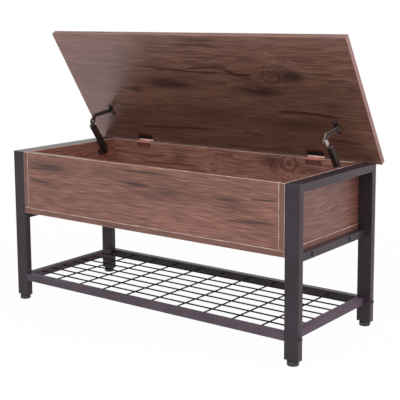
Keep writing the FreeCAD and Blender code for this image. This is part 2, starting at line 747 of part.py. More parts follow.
def build_hinges():
    """Cranked fixed leaves on the rear board, lid leaves, pins and screws."""
    screw_x = [f"{end} * dim.hinge_screw_spacing / 2" for end in (-1, 1)]
    root = "-pos.knuckle_radius / 2"

    fixed = new_body("fixed_leaf")
    profile = sketch_on(fixed, "YZ_Plane")
    top = "dim.hinge_leaf - pos.axis_rise"
    inner = "pos.fixed_leaf_y - dim.hinge_leaf"
    foot = "-pos.axis_rise - dim.hinge_drop"
    polygon(profile, [
        (root, top),
        (inner, top),
        (inner, foot),
        ("pos.fixed_leaf_y", foot),
        ("pos.fixed_leaf_y", "-pos.axis_rise"),
        (root, "-pos.axis_rise"),
    ])
    pad(fixed, profile, "dim.hinge_width", "Symmetric")
    gap = "(dim.middle_knuckle / 2 + dim.hinge_clearance)"
    knuckle(fixed, [(f"-{gap}", gap)], "dim.hinge_pin_diameter")
    countersink(fixed, "XZ_Plane", [(x, "-pos.axis_rise - dim.hinge_screw_drop") for x in screw_x],
                "dim.hinge_leaf", f"-({inner})")
    place(fixed, "pos.hinge_x", "pos.hinge_y", "pos.hinge_z")
    keep(fixed, "hinge_leaf_right")
    keep(mirror(fixed, X_AXIS), "hinge_leaf_left")

    moving = new_body("moving_leaf")
    section = sketch_on(moving, "YZ_Plane")
    rectangle(section, "pos.leaf_rear - dim.lid_leaf_depth", "pos.lid_rise - dim.hinge_leaf",
              "0", "pos.lid_rise")
    pad(moving, section, "dim.hinge_width", "Symmetric")
    half = "dim.middle_knuckle / 2"
    knuckle(moving, [("-dim.hinge_width", f"-{half}"), (half, "dim.hinge_width")],
            "dim.hinge_pin_diameter + 2 * dim.running_clearance")
    countersink(moving, "XY_Plane", [(x, "pos.lid_screw_y") for x in screw_x],
                "dim.hinge_leaf", "pos.lid_rise - dim.hinge_leaf", True)
    swing_with_lid(moving, "pos.hinge_x")
    keep(moving, "lid_leaf_right")
    keep(mirror(moving, X_AXIS), "lid_leaf_left")

    pin = cylinder("hinge_pin", "dim.hinge_pin_diameter", "dim.hinge_width + 2 * dim.hinge_pin_end")
    place(pin, "pos.hinge_x - dim.hinge_width / 2 - dim.hinge_pin_end", "pos.hinge_y", "pos.hinge_z",
          Y_AXIS, QUARTER_TURN)
    keep(pin, "hinge_pin_right")
    keep(mirror(pin, X_AXIS), "hinge_pin_left")

    leaf_screws = []
    lid_screws = []
    for number, x in enumerate(screw_x):
        screw = flush_screw(f"leaf_screw_{number}", "dim.hinge_leaf + dim.screw_bite")
        place(screw, f"pos.hinge_x + {x}", "pos.wall_inner_y - dim.hinge_leaf",
              "pos.frame_top - dim.hinge_screw_drop", X_AXIS, QUARTER_TURN)
        leaf_screws.append(screw)
        screw = flush_screw(f"lid_screw_{number}", "dim.hinge_leaf + dim.screw_bite")
        place(screw, f"pos.hinge_x + {x}", "pos.lid_screw_y", "pos.lid_rise - dim.hinge_leaf",
              X_AXIS, HALF_TURN)
        lid_screws.append(screw)
    right = group("leaf_screws_right", leaf_screws)
    keep(group("leaf_screws", [right, mirror(right, X_AXIS)]), "hinge_screws")
    right = group("lid_screws_right", lid_screws)
    bundle = group("lid_screws", [right, mirror(right, X_AXIS)])
    swing_with_lid(bundle)
    keep(bundle, "lid_leaf_screws")


def build_lid():
    """Lid board with rounded edges, drawn shut about the hinge axis."""
    lid = new_body("lid")
    outline = sketch_on(lid, "XY_Plane", "pos.lid_rise")
    rectangle(outline, "-pos.lid_end", "dim.lid_tail - dim.lid_depth", "pos.lid_end", "dim.lid_tail")
    board = pad(lid, outline, "dim.lid_board")
    every_edge = [f"Edge{number}" for number in range(1, len(board.Shape.Edges) + 1)]
    round_edges(lid, board, every_edge, "dim.lid_rounding")
    hinge_screws = [(f"{side} * pos.hinge_x + {end} * dim.hinge_screw_spacing / 2", "pos.lid_screw_y")
                    for side in (-1, 1) for end in (-1, 1)]
    bracket_screws = [(f"{side} * pos.bracket_screw_x",
                       f"-dim.stay_reach + {end} * dim.bracket_screw_spacing / 2")
                      for side in (-1, 1) for end in (-1, 1)]
    drill(lid, "XY_Plane", hinge_screws + bracket_screws, "dim.screw_diameter", "dim.screw_bite",
          True, "pos.lid_rise")
    swing_with_lid(lid)
    keep(lid, "lid_panel")


def build_stays():
    """Folding lid stays on the box sides: each pair of arms makes a parallelogram with the lid."""
    plate = new_body("stay_plate")
    outline = sketch_on(plate, "YZ_Plane")
    rectangle(outline, "-dim.stay_plate_width / 2", "-dim.stay_plate_drop", "dim.stay_plate_width / 2", "0")
    base = pad(plate, outline, "dim.stay_plate_thickness", reverse=True)
    round_edges(plate, base, corner_edges(base.Shape, X_AXIS), "dim.stay_plate_corner")
    boss = sketch_on(plate, "YZ_Plane")
    circle(boss, "0", "0", "2 * dim.stay_plate_radius")
    pad(plate, boss, "dim.stay_plate_thickness", reverse=True)
    drill(plate, "YZ_Plane", [("0", "0")], "dim.stay_pin_diameter")
    screw_steps = [f"{step} * dim.stay_screw_spacing" for step in (-1, 0, 1)]
    drill(plate, "YZ_Plane", [(step, "-dim.stay_screw_drop") for step in screw_steps], "dim.screw_diameter")
    place(plate, "pos.wall_inner_x", "pos.stay_base_y", "pos.stay_base_z")
    keep(plate, "stay_plate_right")
    keep(mirror(plate, X_AXIS), "stay_plate_left")

    screws = []
    for number, step in enumerate(screw_steps):
        screw = wood_screw(f"plate_screw_{number}", "dim.stay_plate_thickness + dim.screw_bite")
        place(screw, "pos.wall_inner_x - dim.stay_plate_thickness", f"pos.stay_base_y + {step}",
              "pos.stay_screw_z", -Y_AXIS, QUARTER_TURN)
        screws.append(screw)
    right = group("plate_screws_right", screws)
    keep(group("plate_screws", [right, mirror(right, X_AXIS)]), "stay_plate_screws")

    pin = stay_pin("base_pin", "dim.lower_arm_thickness + 2 * dim.stay_gap + dim.stay_plate_thickness")
    place(pin, "pos.upper_arm_x", "pos.stay_base_y", "pos.stay_base_z", -Y_AXIS, QUARTER_TURN)
    keep(group("base_pins", [pin, mirror(pin, X_AXIS)]), "stay_base_pins")

    running_hole = "dim.stay_pin_diameter + 2 * dim.running_clearance"
    lower = new_body("lower_arm")
    outline = sketch_on(lower, "YZ_Plane")
    housing_end = "(dim.tongue_reach - pos.stay_link)"
    slot(outline, "0", "dim.lower_arm_radius", housing_end, "dim.lower_arm_radius")
    housing = pad(lower, outline, "dim.lower_arm_thickness", reverse=True)
    round_edges(lower, housing, edges_across(housing.Shape, X_AXIS), "dim.lower_arm_rounding")
    seat = sketch_on(lower, "YZ_Plane", "-dim.lower_arm_thickness")
    seat_start = f"{housing_end} + dim.tongue_seat"
    slot(seat, seat_start, "dim.tongue_radius", "-pos.stay_link", "dim.tongue_radius")
    pocket(lower, seat, "dim.tongue_thickness", True)
    drill(lower, "YZ_Plane", [("0", "0")], running_hole)
    place(lower, "pos.lower_arm_x", "pos.stay_base_y", "pos.stay_base_z", -X_AXIS, "pos.stay_fold")
    keep(lower, "stay_lower_arm_right")
    keep(mirror(lower, X_AXIS), "stay_lower_arm_left")

    tongue = new_body("tongue")
    outline = sketch_on(tongue, "YZ_Plane", "dim.tongue_thickness - dim.lower_arm_thickness")
    slot(outline, seat_start, "dim.tongue_radius", "-pos.stay_link", "dim.tongue_radius")
    pad(tongue, outline, "dim.tongue_thickness", reverse=True)
    drill(tongue, "YZ_Plane", [("-pos.stay_link", "0")], "dim.stay_pin_diameter")
    place(tongue, "pos.lower_arm_x", "pos.stay_base_y", "pos.stay_base_z", -X_AXIS, "pos.stay_fold")
    keep(tongue, "stay_tongue_right")
    keep(mirror(tongue, X_AXIS), "stay_tongue_left")

    pin = stay_pin("elbow_pin", "dim.tongue_thickness + 2 * dim.stay_gap + dim.upper_arm_thickness")
    place(pin, "pos.bracket_x", "pos.stay_elbow_y", "pos.stay_elbow_z", -Y_AXIS, QUARTER_TURN)
    keep(pin, "stay_elbow_pin_right")
    keep(mirror(pin, X_AXIS), "stay_elbow_pin_left")

    upper = new_body("upper_arm")
    outline = sketch_on(upper, "YZ_Plane")
    tip = "dim.upper_arm_tip_radius"
    polygon(outline, [
        ("pos.stay_brace", tip),
        ("dim.hook_reach", f"dim.hook_rise + {tip}"),
        ("-dim.upper_arm_elbow_radius", "0"),
        ("dim.upper_arm_elbow_radius", "0"),
        (f"dim.hook_reach + {tip}", f"dim.hook_rise - {tip}"),
        ("pos.stay_brace", f"-{tip}"),
    ])
    pad(upper, outline, "dim.upper_arm_thickness", reverse=True)
    for y, radius in (("0", "dim.upper_arm_elbow_radius"), ("pos.stay_brace", tip)):
        end = sketch_on(upper, "YZ_Plane")
        circle(end, y, "0", f"2 * {radius}")
        pad(upper, end, "dim.upper_arm_thickness", reverse=True)
    drill(upper, "YZ_Plane", [("0", "0")], running_hole)
    drill(upper, "YZ_Plane", [("pos.stay_brace", "0")],
          "dim.stay_pin_diameter + 2 * dim.open_pivot_clearance")
    place(upper, "pos.upper_arm_x", "pos.stay_elbow_y", "pos.stay_elbow_z", X_AXIS, "pos.stay_brace_angle")
    keep(upper, "stay_upper_arm_right")
    keep(mirror(upper, X_AXIS), "stay_upper_arm_left")

    bracket = new_body("lid_bracket")
    ear = sketch_on(bracket, "YZ_Plane")
    side = "dim.bracket_width / 2"
    rectangle(ear, f"-dim.stay_reach - {side}", "-dim.stay_drop",
              f"-dim.stay_reach + {side}", "pos.lid_rise")
    pad(bracket, ear, "dim.bracket_thickness", reverse=True)
    tip = sketch_on(bracket, "YZ_Plane")
    circle(tip, "-dim.stay_reach", "-dim.stay_drop", "dim.bracket_width")
    pad(bracket, tip, "dim.bracket_thickness", reverse=True)
    base = sketch_on(bracket, "XY_Plane", "pos.lid_rise")
    reach = "dim.bracket_base_length / 2"
    rectangle(base, "-dim.bracket_thickness - dim.bracket_base_width", f"-dim.stay_reach - {reach}",
              "0", f"-dim.stay_reach + {reach}")
    pad(bracket, base, "dim.bracket_thickness", reverse=True)
    drill(bracket, "YZ_Plane", [("-dim.stay_reach", "-dim.stay_drop")], "dim.stay_pin_diameter")
    holes = [("-dim.bracket_thickness - dim.bracket_base_width / 2",
              f"-dim.stay_reach + {end} * dim.bracket_screw_spacing / 2") for end in (-1, 1)]
    drill(bracket, "XY_Plane", holes, "dim.screw_diameter")
    swing_with_lid(bracket, "pos.bracket_x")
    keep(bracket, "lid_bracket_right")
    keep(mirror(bracket, X_AXIS), "lid_bracket_left")

    pin = stay_pin("bracket_pin", "dim.bracket_thickness + dim.stay_gap + dim.upper_arm_thickness")
    place(pin, "pos.bracket_x - dim.bracket_thickness", "-dim.stay_reach", "-dim.stay_drop",
          -Y_AXIS, QUARTER_TURN)
    bundle = group("bracket_pins", [pin, mirror(pin, X_AXIS)])
    swing_with_lid(bundle)
    keep(bundle, "lid_bracket_pins")

    screws = []
    for number, end in enumerate((-1, 1)):
        screw = wood_screw(f"bracket_screw_{number}", "dim.bracket_thickness + dim.screw_bite")
        place(screw, "pos.bracket_screw_x", f"-dim.stay_reach + {end} * dim.bracket_screw_spacing / 2",
              "pos.lid_rise - dim.bracket_thickness", X_AXIS, HALF_TURN)
        screws.append(screw)
    right = group("bracket_screws_right", screws)
    bundle = group("bracket_screws", [right, mirror(right, X_AXIS)])
    swing_with_lid(bundle)
    keep(bundle, "lid_bracket_screws")


def check_document():
    """Stop on a failed object or a sub-part that is empty or not valid."""
    doc.recompute()
    for thing in doc.Objects:
        if {"Invalid", "Error"} & set(thing.State):
            raise RuntimeError(f"{thing.Name} failed: {thing.State}")
    for part in parts:
        if part.Shape.isNull() or not part.Shape.isValid() or not part.Shape.Solids:
            raise RuntimeError(f"{part.Label} has no valid solid")


def write_parts():
    """Write one file for each sub-part."""
    os.makedirs("parts", exist_ok=True)
    for part in parts:
        part.Shape.exportStep(f"parts/{part.Label}.step")


build_end_frames()
build_feet()
build_rails()
build_bolted_ends("shelf", "dim.shelf_rail_size", "dim.shelf_rail_size", "dim.leg_width",
                  "dim.frame_length / 2", "-pos.shelf_rail_y", "pos.shelf_rail_z")
build_bolted_ends("stretcher", "dim.stretcher_width", "dim.stretcher_height", "dim.bearer_size",
                  "pos.bay_length / 2 + dim.bearer_size", "-pos.stretcher_y", "pos.bearer_z")
build_mesh()
build_box()
build_hinges()
build_lid()
build_stays()
check_document()
write_parts()
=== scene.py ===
"""Shoe storage bench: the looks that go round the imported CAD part.

Metres, in the part's own frame: +X along the bench, +Y from front to rear, +Z up, floor at zero.
"""
import itertools
import logging
import math
from dataclasses import dataclass, field, replace
from enum import Enum

import bmesh
import bpy
from mathutils import Matrix, Vector


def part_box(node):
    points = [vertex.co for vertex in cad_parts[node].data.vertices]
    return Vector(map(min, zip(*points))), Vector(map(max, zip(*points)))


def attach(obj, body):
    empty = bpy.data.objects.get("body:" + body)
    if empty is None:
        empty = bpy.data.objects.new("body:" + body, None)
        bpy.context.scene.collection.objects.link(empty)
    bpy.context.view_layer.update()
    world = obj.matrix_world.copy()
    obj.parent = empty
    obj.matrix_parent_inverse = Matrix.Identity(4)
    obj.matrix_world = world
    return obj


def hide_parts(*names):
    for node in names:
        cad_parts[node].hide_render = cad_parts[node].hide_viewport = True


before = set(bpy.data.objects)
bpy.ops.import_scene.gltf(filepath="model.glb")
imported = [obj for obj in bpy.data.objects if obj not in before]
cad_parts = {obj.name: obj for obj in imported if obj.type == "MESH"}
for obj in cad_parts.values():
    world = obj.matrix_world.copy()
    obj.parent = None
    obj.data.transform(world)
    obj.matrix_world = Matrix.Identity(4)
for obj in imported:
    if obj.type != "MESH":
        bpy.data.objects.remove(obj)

Colour = tuple[float, float, float]
Triple = tuple[float, float, float]
Pair = tuple[float, float]
Socket = bpy.types.NodeSocket
Value = Socket | float | Colour | Vector

LOG = logging.getLogger("bench")
ROOT = "frame_and_box"
LID = "lid"
SIDES = ("left", "right")
WHITE: Colour = (1.0, 1.0, 1.0)
BLUSH: Colour = (1.0, 0.77, 0.85)
NOISE_SPAN: Pair = (0.3, 0.7)
NOISE_CORE: Pair = (0.35, 0.65)
NOISE_MIDDLE = 0.5
EDGE_TURN = 0.86
EDGE_SAMPLES = 4
FLAT_ANGLE = 0.01
SAME_PLACE = 1e-6
SQUARE_ON = 0.999


class Lay(Enum):
    """How a board lies: the row axes along the grain, across it and through the board."""

    UPRIGHT_LENGTHWISE = ("X", "Z", "Y")
    UPRIGHT_DEPTHWISE = ("Y", "Z", "X")
    FLAT_LENGTHWISE = ("X", "Y", "Z")


class Part(Enum):
    """The kinds of face on a board, in the order of its material slots."""

    FACE = 0
    EDGE = 1
    ARRIS = 2
    SEAT = 3


class NodeGraph:
    """A node tree, built up in small named steps."""

    def __init__(self, tree: bpy.types.NodeTree) -> None:
        """Takes up a tree to add nodes to."""
        self.tree = tree

    def feed(self, socket: Socket, value: Value) -> None:
        """Links a socket to another one, or sets its value.

        Args:
            socket: the input to fill.
            value: an output socket, a number, a colour or a vector.
        """
        if isinstance(value, bpy.types.NodeSocket):
            self.tree.links.new(value, socket)
        elif socket.type == "RGBA":
            socket.default_value = (*value, 1.0)
        else:
            socket.default_value = value

    def add(self, kind: str, inputs: dict[str | int, Value], **settings: object) -> bpy.types.Node:
        """Adds a node.

        Args:
            kind: the node's type name.
            inputs: values of its input sockets.
            settings: its other properties.

        Returns:
            The node.
        """
        node = self.tree.nodes.new(kind)
        for name, value in settings.items():
            setattr(node, name, value)
        for name, value in inputs.items():
            self.feed(node.inputs[name], value)
        return node

    def math(self, operation: str, first: Value, second: Value = 0.0) -> Socket:
        """A sum of two numbers.

        Args:
            operation: the Math node's operation.
            first: the first number.
            second: the second number, where the operation has one.

        Returns:
            The result.
        """
        inputs = {0: first, 1: second}
        return self.add("ShaderNodeMath", inputs, operation=operation).outputs[0]

    def plus(self, first: Value, second: Value) -> Socket:
        """Two numbers added."""
        return self.math("ADD", first, second)

    def minus(self, first: Value, second: Value) -> Socket:
        """The second number taken from the first."""
        return self.math("SUBTRACT", first, second)

    def times(self, first: Value, second: Value) -> Socket:
        """Two numbers multiplied."""
        return self.math("MULTIPLY", first, second)

    def fading(self, distance: Socket, rate: float) -> Socket:
        """A number that is 1 at no distance and dies away from there."""
        return self.math("POWER", math.e, self.times(distance, -rate))

    def place(self) -> Socket:
        """The surface point in the part's rest frame."""
        return self.add("ShaderNodeTexCoord", {}).outputs["Object"]

    def vector(self, x: Value, y: Value, z: Value) -> Socket:
        """A vector made of three numbers."""
        return self.add("ShaderNodeCombineXYZ", {0: x, 1: y, 2: z}).outputs[0]

    def stretch(self, vector: Socket, scale: Triple) -> Socket:
        """A vector scaled by a factor on each axis."""
        inputs = {0: vector, 1: Vector(scale)}
        return self.add("ShaderNodeVectorMath", inputs, operation="MULTIPLY").outputs[0]

    def noise(self, vector: Socket, scale: float = 1.0, detail: float = 2.0,
              roughness: float = 0.5, distortion: float = 0.0) -> Socket:
        """A cloudy pattern from about 0.3 to 0.7.

        Args:
            vector: where it is looked up.
            scale: clouds per metre.
            detail: how many finer layers it has.
            roughness: how strong the finer layers are.
            distortion: how far the clouds are stirred.

        Returns:
            The pattern's value.
        """
        inputs = {"Vector": vector, "Scale": scale, "Detail": detail, "Roughness": roughness,
                  "Distortion": distortion}
        return self.add("ShaderNodeTexNoise", inputs).outputs[0]

    def spread(self, value: Socket, low: float, high: float, out_low: float = 0.0,
               out_high: float = 1.0) -> Socket:
        """A smooth step of a value.

        Args:
            value: the number to spread.
            low: where the step starts.
            high: where the step ends.
            out_low: the result before the step.
            out_high: the result after it.

        Returns:
            The result.
        """
        inputs = {0: value, 1: low, 2: high, 3: out_low, 4: out_high}
        return self.add("ShaderNodeMapRange", inputs, interpolation_type="SMOOTHSTEP").outputs[0]

    def around(self, pattern: Socket, middle: float, steps: Pair) -> Socket:
        """A number that goes with a pattern from a step below a middle to a step above it."""
        return self.spread(pattern, *NOISE_SPAN, *(middle + step for step in steps))

    def ramp(self, value: Socket, stops: list[tuple[float, Colour]]) -> Socket:
        """A colour looked up along a row of stops.

        Args:
            value: a number from 0 to 1.
            stops: places and colours, in order.

        Returns:
            The colour.
        """
        node = self.add("ShaderNodeValToRGB", {0: value})
        elements = node.color_ramp.elements
        while len(elements) < len(stops):
            elements.new(1.0)
        for element, (place, colour) in zip(elements, stops):
            element.position = place
            element.color = (*colour, 1.0)
        return node.outputs[0]

    def curve(self, value: Socket, stops: list[Pair]) -> Socket:
        """A smooth line through a row of stops.

        Args:
            value: a number from 0 to 1.
            stops: places and heights from 0 to 1, in order.

        Returns:
            The height.
        """
        node = self.add("ShaderNodeFloatCurve", {"Value": value})
        points = node.mapping.curves[0].points
        while len(points) < len(stops):
            points.new(0.5, 0.5)
        for point, stop in zip(points, stops):
            point.location = stop
        node.mapping.update()
        return node.outputs[0]

    def strongest(self, values: list[Socket]) -> Socket:
        """The greatest of some numbers.

        Args:
            values: the numbers, at least one.

        Returns:
            The greatest.
        """
        total = values[0]
        for value in values[1:]:
            total = self.math("MAXIMUM", total, value)
        return total

    def blend(self, factor: Value, first: Value, second: Value) -> Socket:
        """Two colours mixed by a factor.

        Args:
            factor: the share of the second colour.
            first: the first colour.
            second: the second colour.

        Returns:
            The colour.
        """
        node = self.add("ShaderNodeMix", {}, data_type="RGBA")
        for index, value in ((0, factor), (6, first), (7, second)):
            self.feed(node.inputs[index], value)
        return node.outputs[2]

    def bump(self, height: Socket, strength: float, distance: float) -> Socket:
        """A surface normal that follows a height.

        Args:
            height: the height, from 0 to 1.
            strength: the bump's strength.
            distance: the depth that a height of 1 stands for.

        Returns:
            The normal.
        """
        inputs = {"Height": height, "Strength": strength, "Distance": distance}
        return self.add("ShaderNodeBump", inputs).outputs[0]

    def edges(self, radius: float) -> Socket:
        """How near a sharp edge a surface point is.

        Args:
            radius: how far the edge reaches.

        Returns:
            0 on the flat and towards 1 at the edge.
        """
        rounded = self.add("ShaderNodeBevel", {"Radius": radius}, samples=EDGE_SAMPLES).outputs[0]
        flat = self.add("ShaderNodeNewGeometry", {}).outputs["Normal"]
        dot = self.add("ShaderNodeVectorMath", {0: rounded, 1: flat}, operation="DOT_PRODUCT")
        return self.spread(dot.outputs["Value"], 1.0, EDGE_TURN)

    def from_axis(self, axis: Pair) -> Socket:
        """The distance of a surface point from a line along X.

        Args:
            axis: the line's place in Y and Z.

        Returns:
            The distance.
        """
        split = self.add("ShaderNodeSeparateXYZ", {0: self.place()})
        steps = [self.minus(split.outputs[name], place) for name, place in zip("YZ", axis)]
        return self.math("SQRT", self.plus(*(self.times(step, step) for step in steps)))

    def seen_directly(self) -> Socket:
        """Whether a ray shows the backdrop itself: to the camera, in gloss or through glass.

        Returns:
            The factor, 1 for such a ray.
        """
        path = self.add("ShaderNodeLightPath", {})
        rays = ("Is Camera Ray", "Is Glossy Ray", "Is Transmission Ray")
        return self.strongest([path.outputs[ray] for ray in rays])


class FinishGraph(NodeGraph):
    """The nodes of a finish: a material with a Principled shader."""

    def __init__(self, name: str) -> None:
        """Starts a material that has its shader and nothing else.

        Args:
            name: the material's name.
        """
        self.material = bpy.data.materials.new(name)
        self.material.use_nodes = True
        super().__init__(self.material.node_tree)
        self.tree.nodes.clear()
        self.shader = self.add("ShaderNodeBsdfPrincipled", {})
        self.add("ShaderNodeOutputMaterial", {"Surface": self.shader.outputs["BSDF"]})

    def set(self, **values: Value) -> None:
        """Fills the shader's own sockets, named with underscores for spaces.

        Args:
            values: the value of each socket.
        """
        for name, value in values.items():
            self.feed(self.shader.inputs[name.replace("_", " ")], value)


@dataclass(frozen=True)
class Knot:
    """A knot in a board's face, which the grain flows round.

    Places are along and across the grain, in the board's own frame.
    """

    along: float
    across: float
    length: float
    width: float
    darkness: float


@dataclass(frozen=True)
class StainAndShade:
    """A soft dark patch in a board's face: a stain in the wood on some boards, painted shade where
    the board lies in shadow on others.
    """

    along: float
    across: float
    length: float
    width: float
    darkness: float


@dataclass(frozen=True)
class Crack:
    """A thin dark line in a board's face, through places along and across the grain."""

    path: tuple[Pair, ...]
    width: float
    darkness: float


@dataclass(frozen=True)
class WalnutFinish:
    """Matte walnut laminate: streaked grain, pores, stains, patches of painted shade, cracks and
    knots.

    Scales are waves per metre along the grain, across it and through the board.
    """

    name: str
    lay: Lay
    seed: float
    knots: tuple[Knot, ...] = ()
    stains_and_shade: tuple[StainAndShade, ...] = ()
    cracks: tuple[Crack, ...] = ()
    tilt: float = 0.0
    pivot: Triple = (0.0, 0.0, 0.0)
    dark: Colour = (0.046, 0.018, 0.013)
    middle: Colour = (0.180, 0.074, 0.053)
    light: Colour = (0.300, 0.142, 0.106)
    knot_colour: Colour = (0.030, 0.013, 0.010)
    contrast: float = 1.0
    sheen: float = 0.42
    sheen_tint: Colour = WHITE
    ior: float = 1.5
    smooth: float = 0.36
    smooth_range: float = 0.12
    drift_scale: Triple = (1.6, 6.0, 6.0)
    drift_reach: float = 0.014
    broad_scale: Triple = (1.3, 12.0, 6.0)
    broad_share: float = 0.16
    streak_scale: Triple = (7.0, 230.0, 70.0)
    streak_share: float = 0.20
    fibre_scale: Triple = (15.0, 470.0, 150.0)
    fibre_share: float = 0.64
    tone_reach: float = 0.23
    middle_stop: float = 0.46
    cloud_scale: Triple = (6.0, 42.0, 16.0)
    stain_span: Pair = (0.56, 0.72)
    stain_streaks: Pair = (0.44, 0.62)
    stain_share: float = 0.12
    pore_scale: Triple = (13.0, 330.0, 110.0)
    pore_span: Pair = (0.58, 0.70)
    pore_share: float = 0.36
    pore_depth: float = 0.5
    relief: float = 0.22
    relief_depth: float = 0.0004
    knot_stir_scale: Triple = (45.0, 60.0, 1.0)
    knot_stir: Pair = (0.6, 1.4)
    knot_fade: float = 0.7
    knot_pull: float = 0.85
    knot_rings: float = 15.0
    knot_core: float = 0.25
    ring_span: Pair = (-0.4, 1.0)
    ring_least: float = 0.15
    crack_ripple: float = 0.008
    crack_margin: float = 0.001
    crack_taper: float = 0.18
    crack_core: float = 0.45
    patch_fade: float = 1.3
    patch_streaks: Pair = (0.36, 0.56)
    patch_least: float = 0.40

    def with_painted_light(self, tone: float) -> "WalnutFinish":
        """The same laminate with its colours scaled up for painted light or down for painted shade.

        Args:
            tone: the factor on its colours, above 1 for painted light and below 1 for painted
                shade.

        Returns:
            The finish.
        """
        colours = {name: tuple(channel * tone for channel in getattr(self, name))
                   for name in ("dark", "middle", "light")}
        return replace(self, **colours)

    def grain_place(self, graph: NodeGraph) -> tuple[Socket, Socket, Socket]:
        """The surface point along the grain, across it and through the board.

        Args:
            graph: the material's nodes.

        Returns:
            The three places.
        """
        point = graph.place()
        if self.tilt:
            inputs = {"Vector": point, "Center": Vector(self.pivot), "Angle": self.tilt}
            turned = graph.add("ShaderNodeVectorRotate", inputs, rotation_type="X_AXIS")
            point = turned.outputs[0]
        split = graph.add("ShaderNodeSeparateXYZ", {0: point})
        along, across, through = (split.outputs[axis] for axis in self.lay.value)
        return along, across, through

    def spot(self, graph: NodeGraph, along: Socket, across: Socket, mark: Knot | StainAndShade) -> Socket:
        """The squared distance from a mark's middle, where 1 is its rim.

        Args:
            graph: the material's nodes.
            along: the place along the grain.
            across: the place across it.
            mark: the knot or dark patch.

        Returns:
            The distance.
        """
        length = graph.math("DIVIDE", graph.minus(along, mark.along), mark.length)
        width = graph.math("DIVIDE", graph.minus(across, mark.across), mark.width)
        return graph.plus(graph.times(length, length), graph.times(width, width))

    def around_knots(self, graph: NodeGraph, along: Socket,
                     across: Socket) -> tuple[Socket, list[Socket]]:
        """Bends the grain round the knots.

        Args:
            graph: the material's nodes.
            along: the place along the grain.
            across: the place across it.

        Returns:
            The bent place across the grain, and how dark each knot is.
        """
        stirred = graph.stretch(graph.vector(along, across, 0.0), self.knot_stir_scale)
        stir = graph.spread(graph.noise(stirred), *NOISE_SPAN, *self.knot_stir)
        bent = across
        shades = []
        for knot in self.knots:
            distance = graph.times(self.spot(graph, along, across, knot), stir)
            near = graph.fading(distance, self.knot_fade)
            pull = graph.times(graph.minus(across, knot.across), near)
            bent = graph.minus(bent, graph.times(pull, self.knot_pull))
            rings = graph.math("SINE", graph.times(graph.math("SQRT", distance), self.knot_rings))
            core = graph.spread(distance, 1.0, self.knot_core)
            ring = graph.times(core, graph.spread(rings, *self.ring_span, self.ring_least, 1.0))
            shades.append(graph.times(ring, knot.darkness))
        return bent, shades

    def crack_shades(self, graph: NodeGraph, along: Socket, across: Socket) -> list[Socket]:
        """Draws the cracks.

        Args:
            graph: the material's nodes.
            along: the place along the grain.
            across: the place across it.

        Returns:
            How dark each crack is.
        """
        shades = []
        for crack in self.cracks:
            start, end = crack.path[0][0], crack.path[-1][0]
            low = min(place for _, place in crack.path) - self.crack_margin
            span = max(place for _, place in crack.path) + self.crack_margin - low
            stops = [((step - start) / (end - start), (place - low) / span)
                     for step, place in crack.path]
            share = graph.math("DIVIDE", graph.minus(along, start), end - start)
            line = graph.plus(graph.times(graph.curve(share, stops), span), low)
            gap = graph.math("ABSOLUTE", graph.minus(across, line))
            taper = graph.times(graph.spread(share, 0.0, self.crack_taper),
                                graph.spread(share, 1.0, 1.0 - self.crack_taper))
            core = crack.width * self.crack_core
            dark = graph.times(graph.spread(gap, crack.width, core), taper)
            shades.append(graph.times(dark, crack.darkness))
        return shades

    def stain_and_shade_marks(self, graph: NodeGraph, along: Socket, across: Socket,
                      streak: Socket) -> list[Socket]:
        """Draws the dark patches, which are stains and painted shade, and break up along the
        streaks.

        Args:
            graph: the material's nodes.
            along: the place along the grain.
            across: the place across it.
            streak: the grain's streaks.

        Returns:
            How dark each patch is.
        """
        broken = graph.spread(streak, *self.patch_streaks, self.patch_least, 1.0)
        shades = []
        for dark_patch in self.stains_and_shade:
            soft = graph.fading(self.spot(graph, along, across, dark_patch), self.patch_fade)
            shades.append(graph.times(graph.times(soft, broken), dark_patch.darkness))
        return shades

    def wood_colour(self, graph: NodeGraph, broad: Socket, streak: Socket, fibre: Socket) -> Socket:
        """The bare grain's colour.

        Args:
            graph: the material's nodes.
            broad: the grain's broad waves.
            streak: its streaks.
            fibre: its fibres.

        Returns:
            The colour.
        """
        tone = graph.plus(graph.times(broad, self.broad_share),
                          graph.times(streak, self.streak_share))
        tone = graph.plus(tone, graph.times(fibre, self.fibre_share))
        reach = self.tone_reach / self.contrast
        tone = graph.spread(tone, NOISE_MIDDLE - reach, NOISE_MIDDLE + reach)
        shaded = tuple((low + high) / 2 for low, high in zip(self.dark, self.middle))
        stops = [(0.0, shaded), (self.middle_stop, self.middle), (1.0, self.light)]
        return graph.ramp(tone, stops)

    def material(self) -> bpy.types.Material:
        """Builds the laminate's material.

        Returns:
            The material.
        """
        graph = FinishGraph(self.name)
        along, across, through = self.grain_place(graph)
        run = graph.plus(along, self.seed)
        drift = graph.noise(graph.stretch(graph.vector(run, across, through), self.drift_scale))
        wavy = graph.plus(across, graph.times(graph.minus(drift, NOISE_MIDDLE), self.drift_reach))
        bent, knots = self.around_knots(graph, along, wavy)
        grain = graph.vector(run, bent, through)

        broad = graph.noise(graph.stretch(grain, self.broad_scale), detail=1.0)
        streak = graph.noise(graph.stretch(grain, self.streak_scale), distortion=0.1)
        fibre = graph.noise(graph.stretch(grain, self.fibre_scale), detail=1.0)
        cloud = graph.noise(graph.stretch(grain, self.cloud_scale), detail=4.0, roughness=0.62,
                            distortion=0.5)
        colour = self.wood_colour(graph, broad, streak, fibre)

        stain_and_shade = graph.times(graph.spread(cloud, *self.stain_span),
                            graph.spread(streak, *self.stain_streaks, 0.0, self.stain_share))
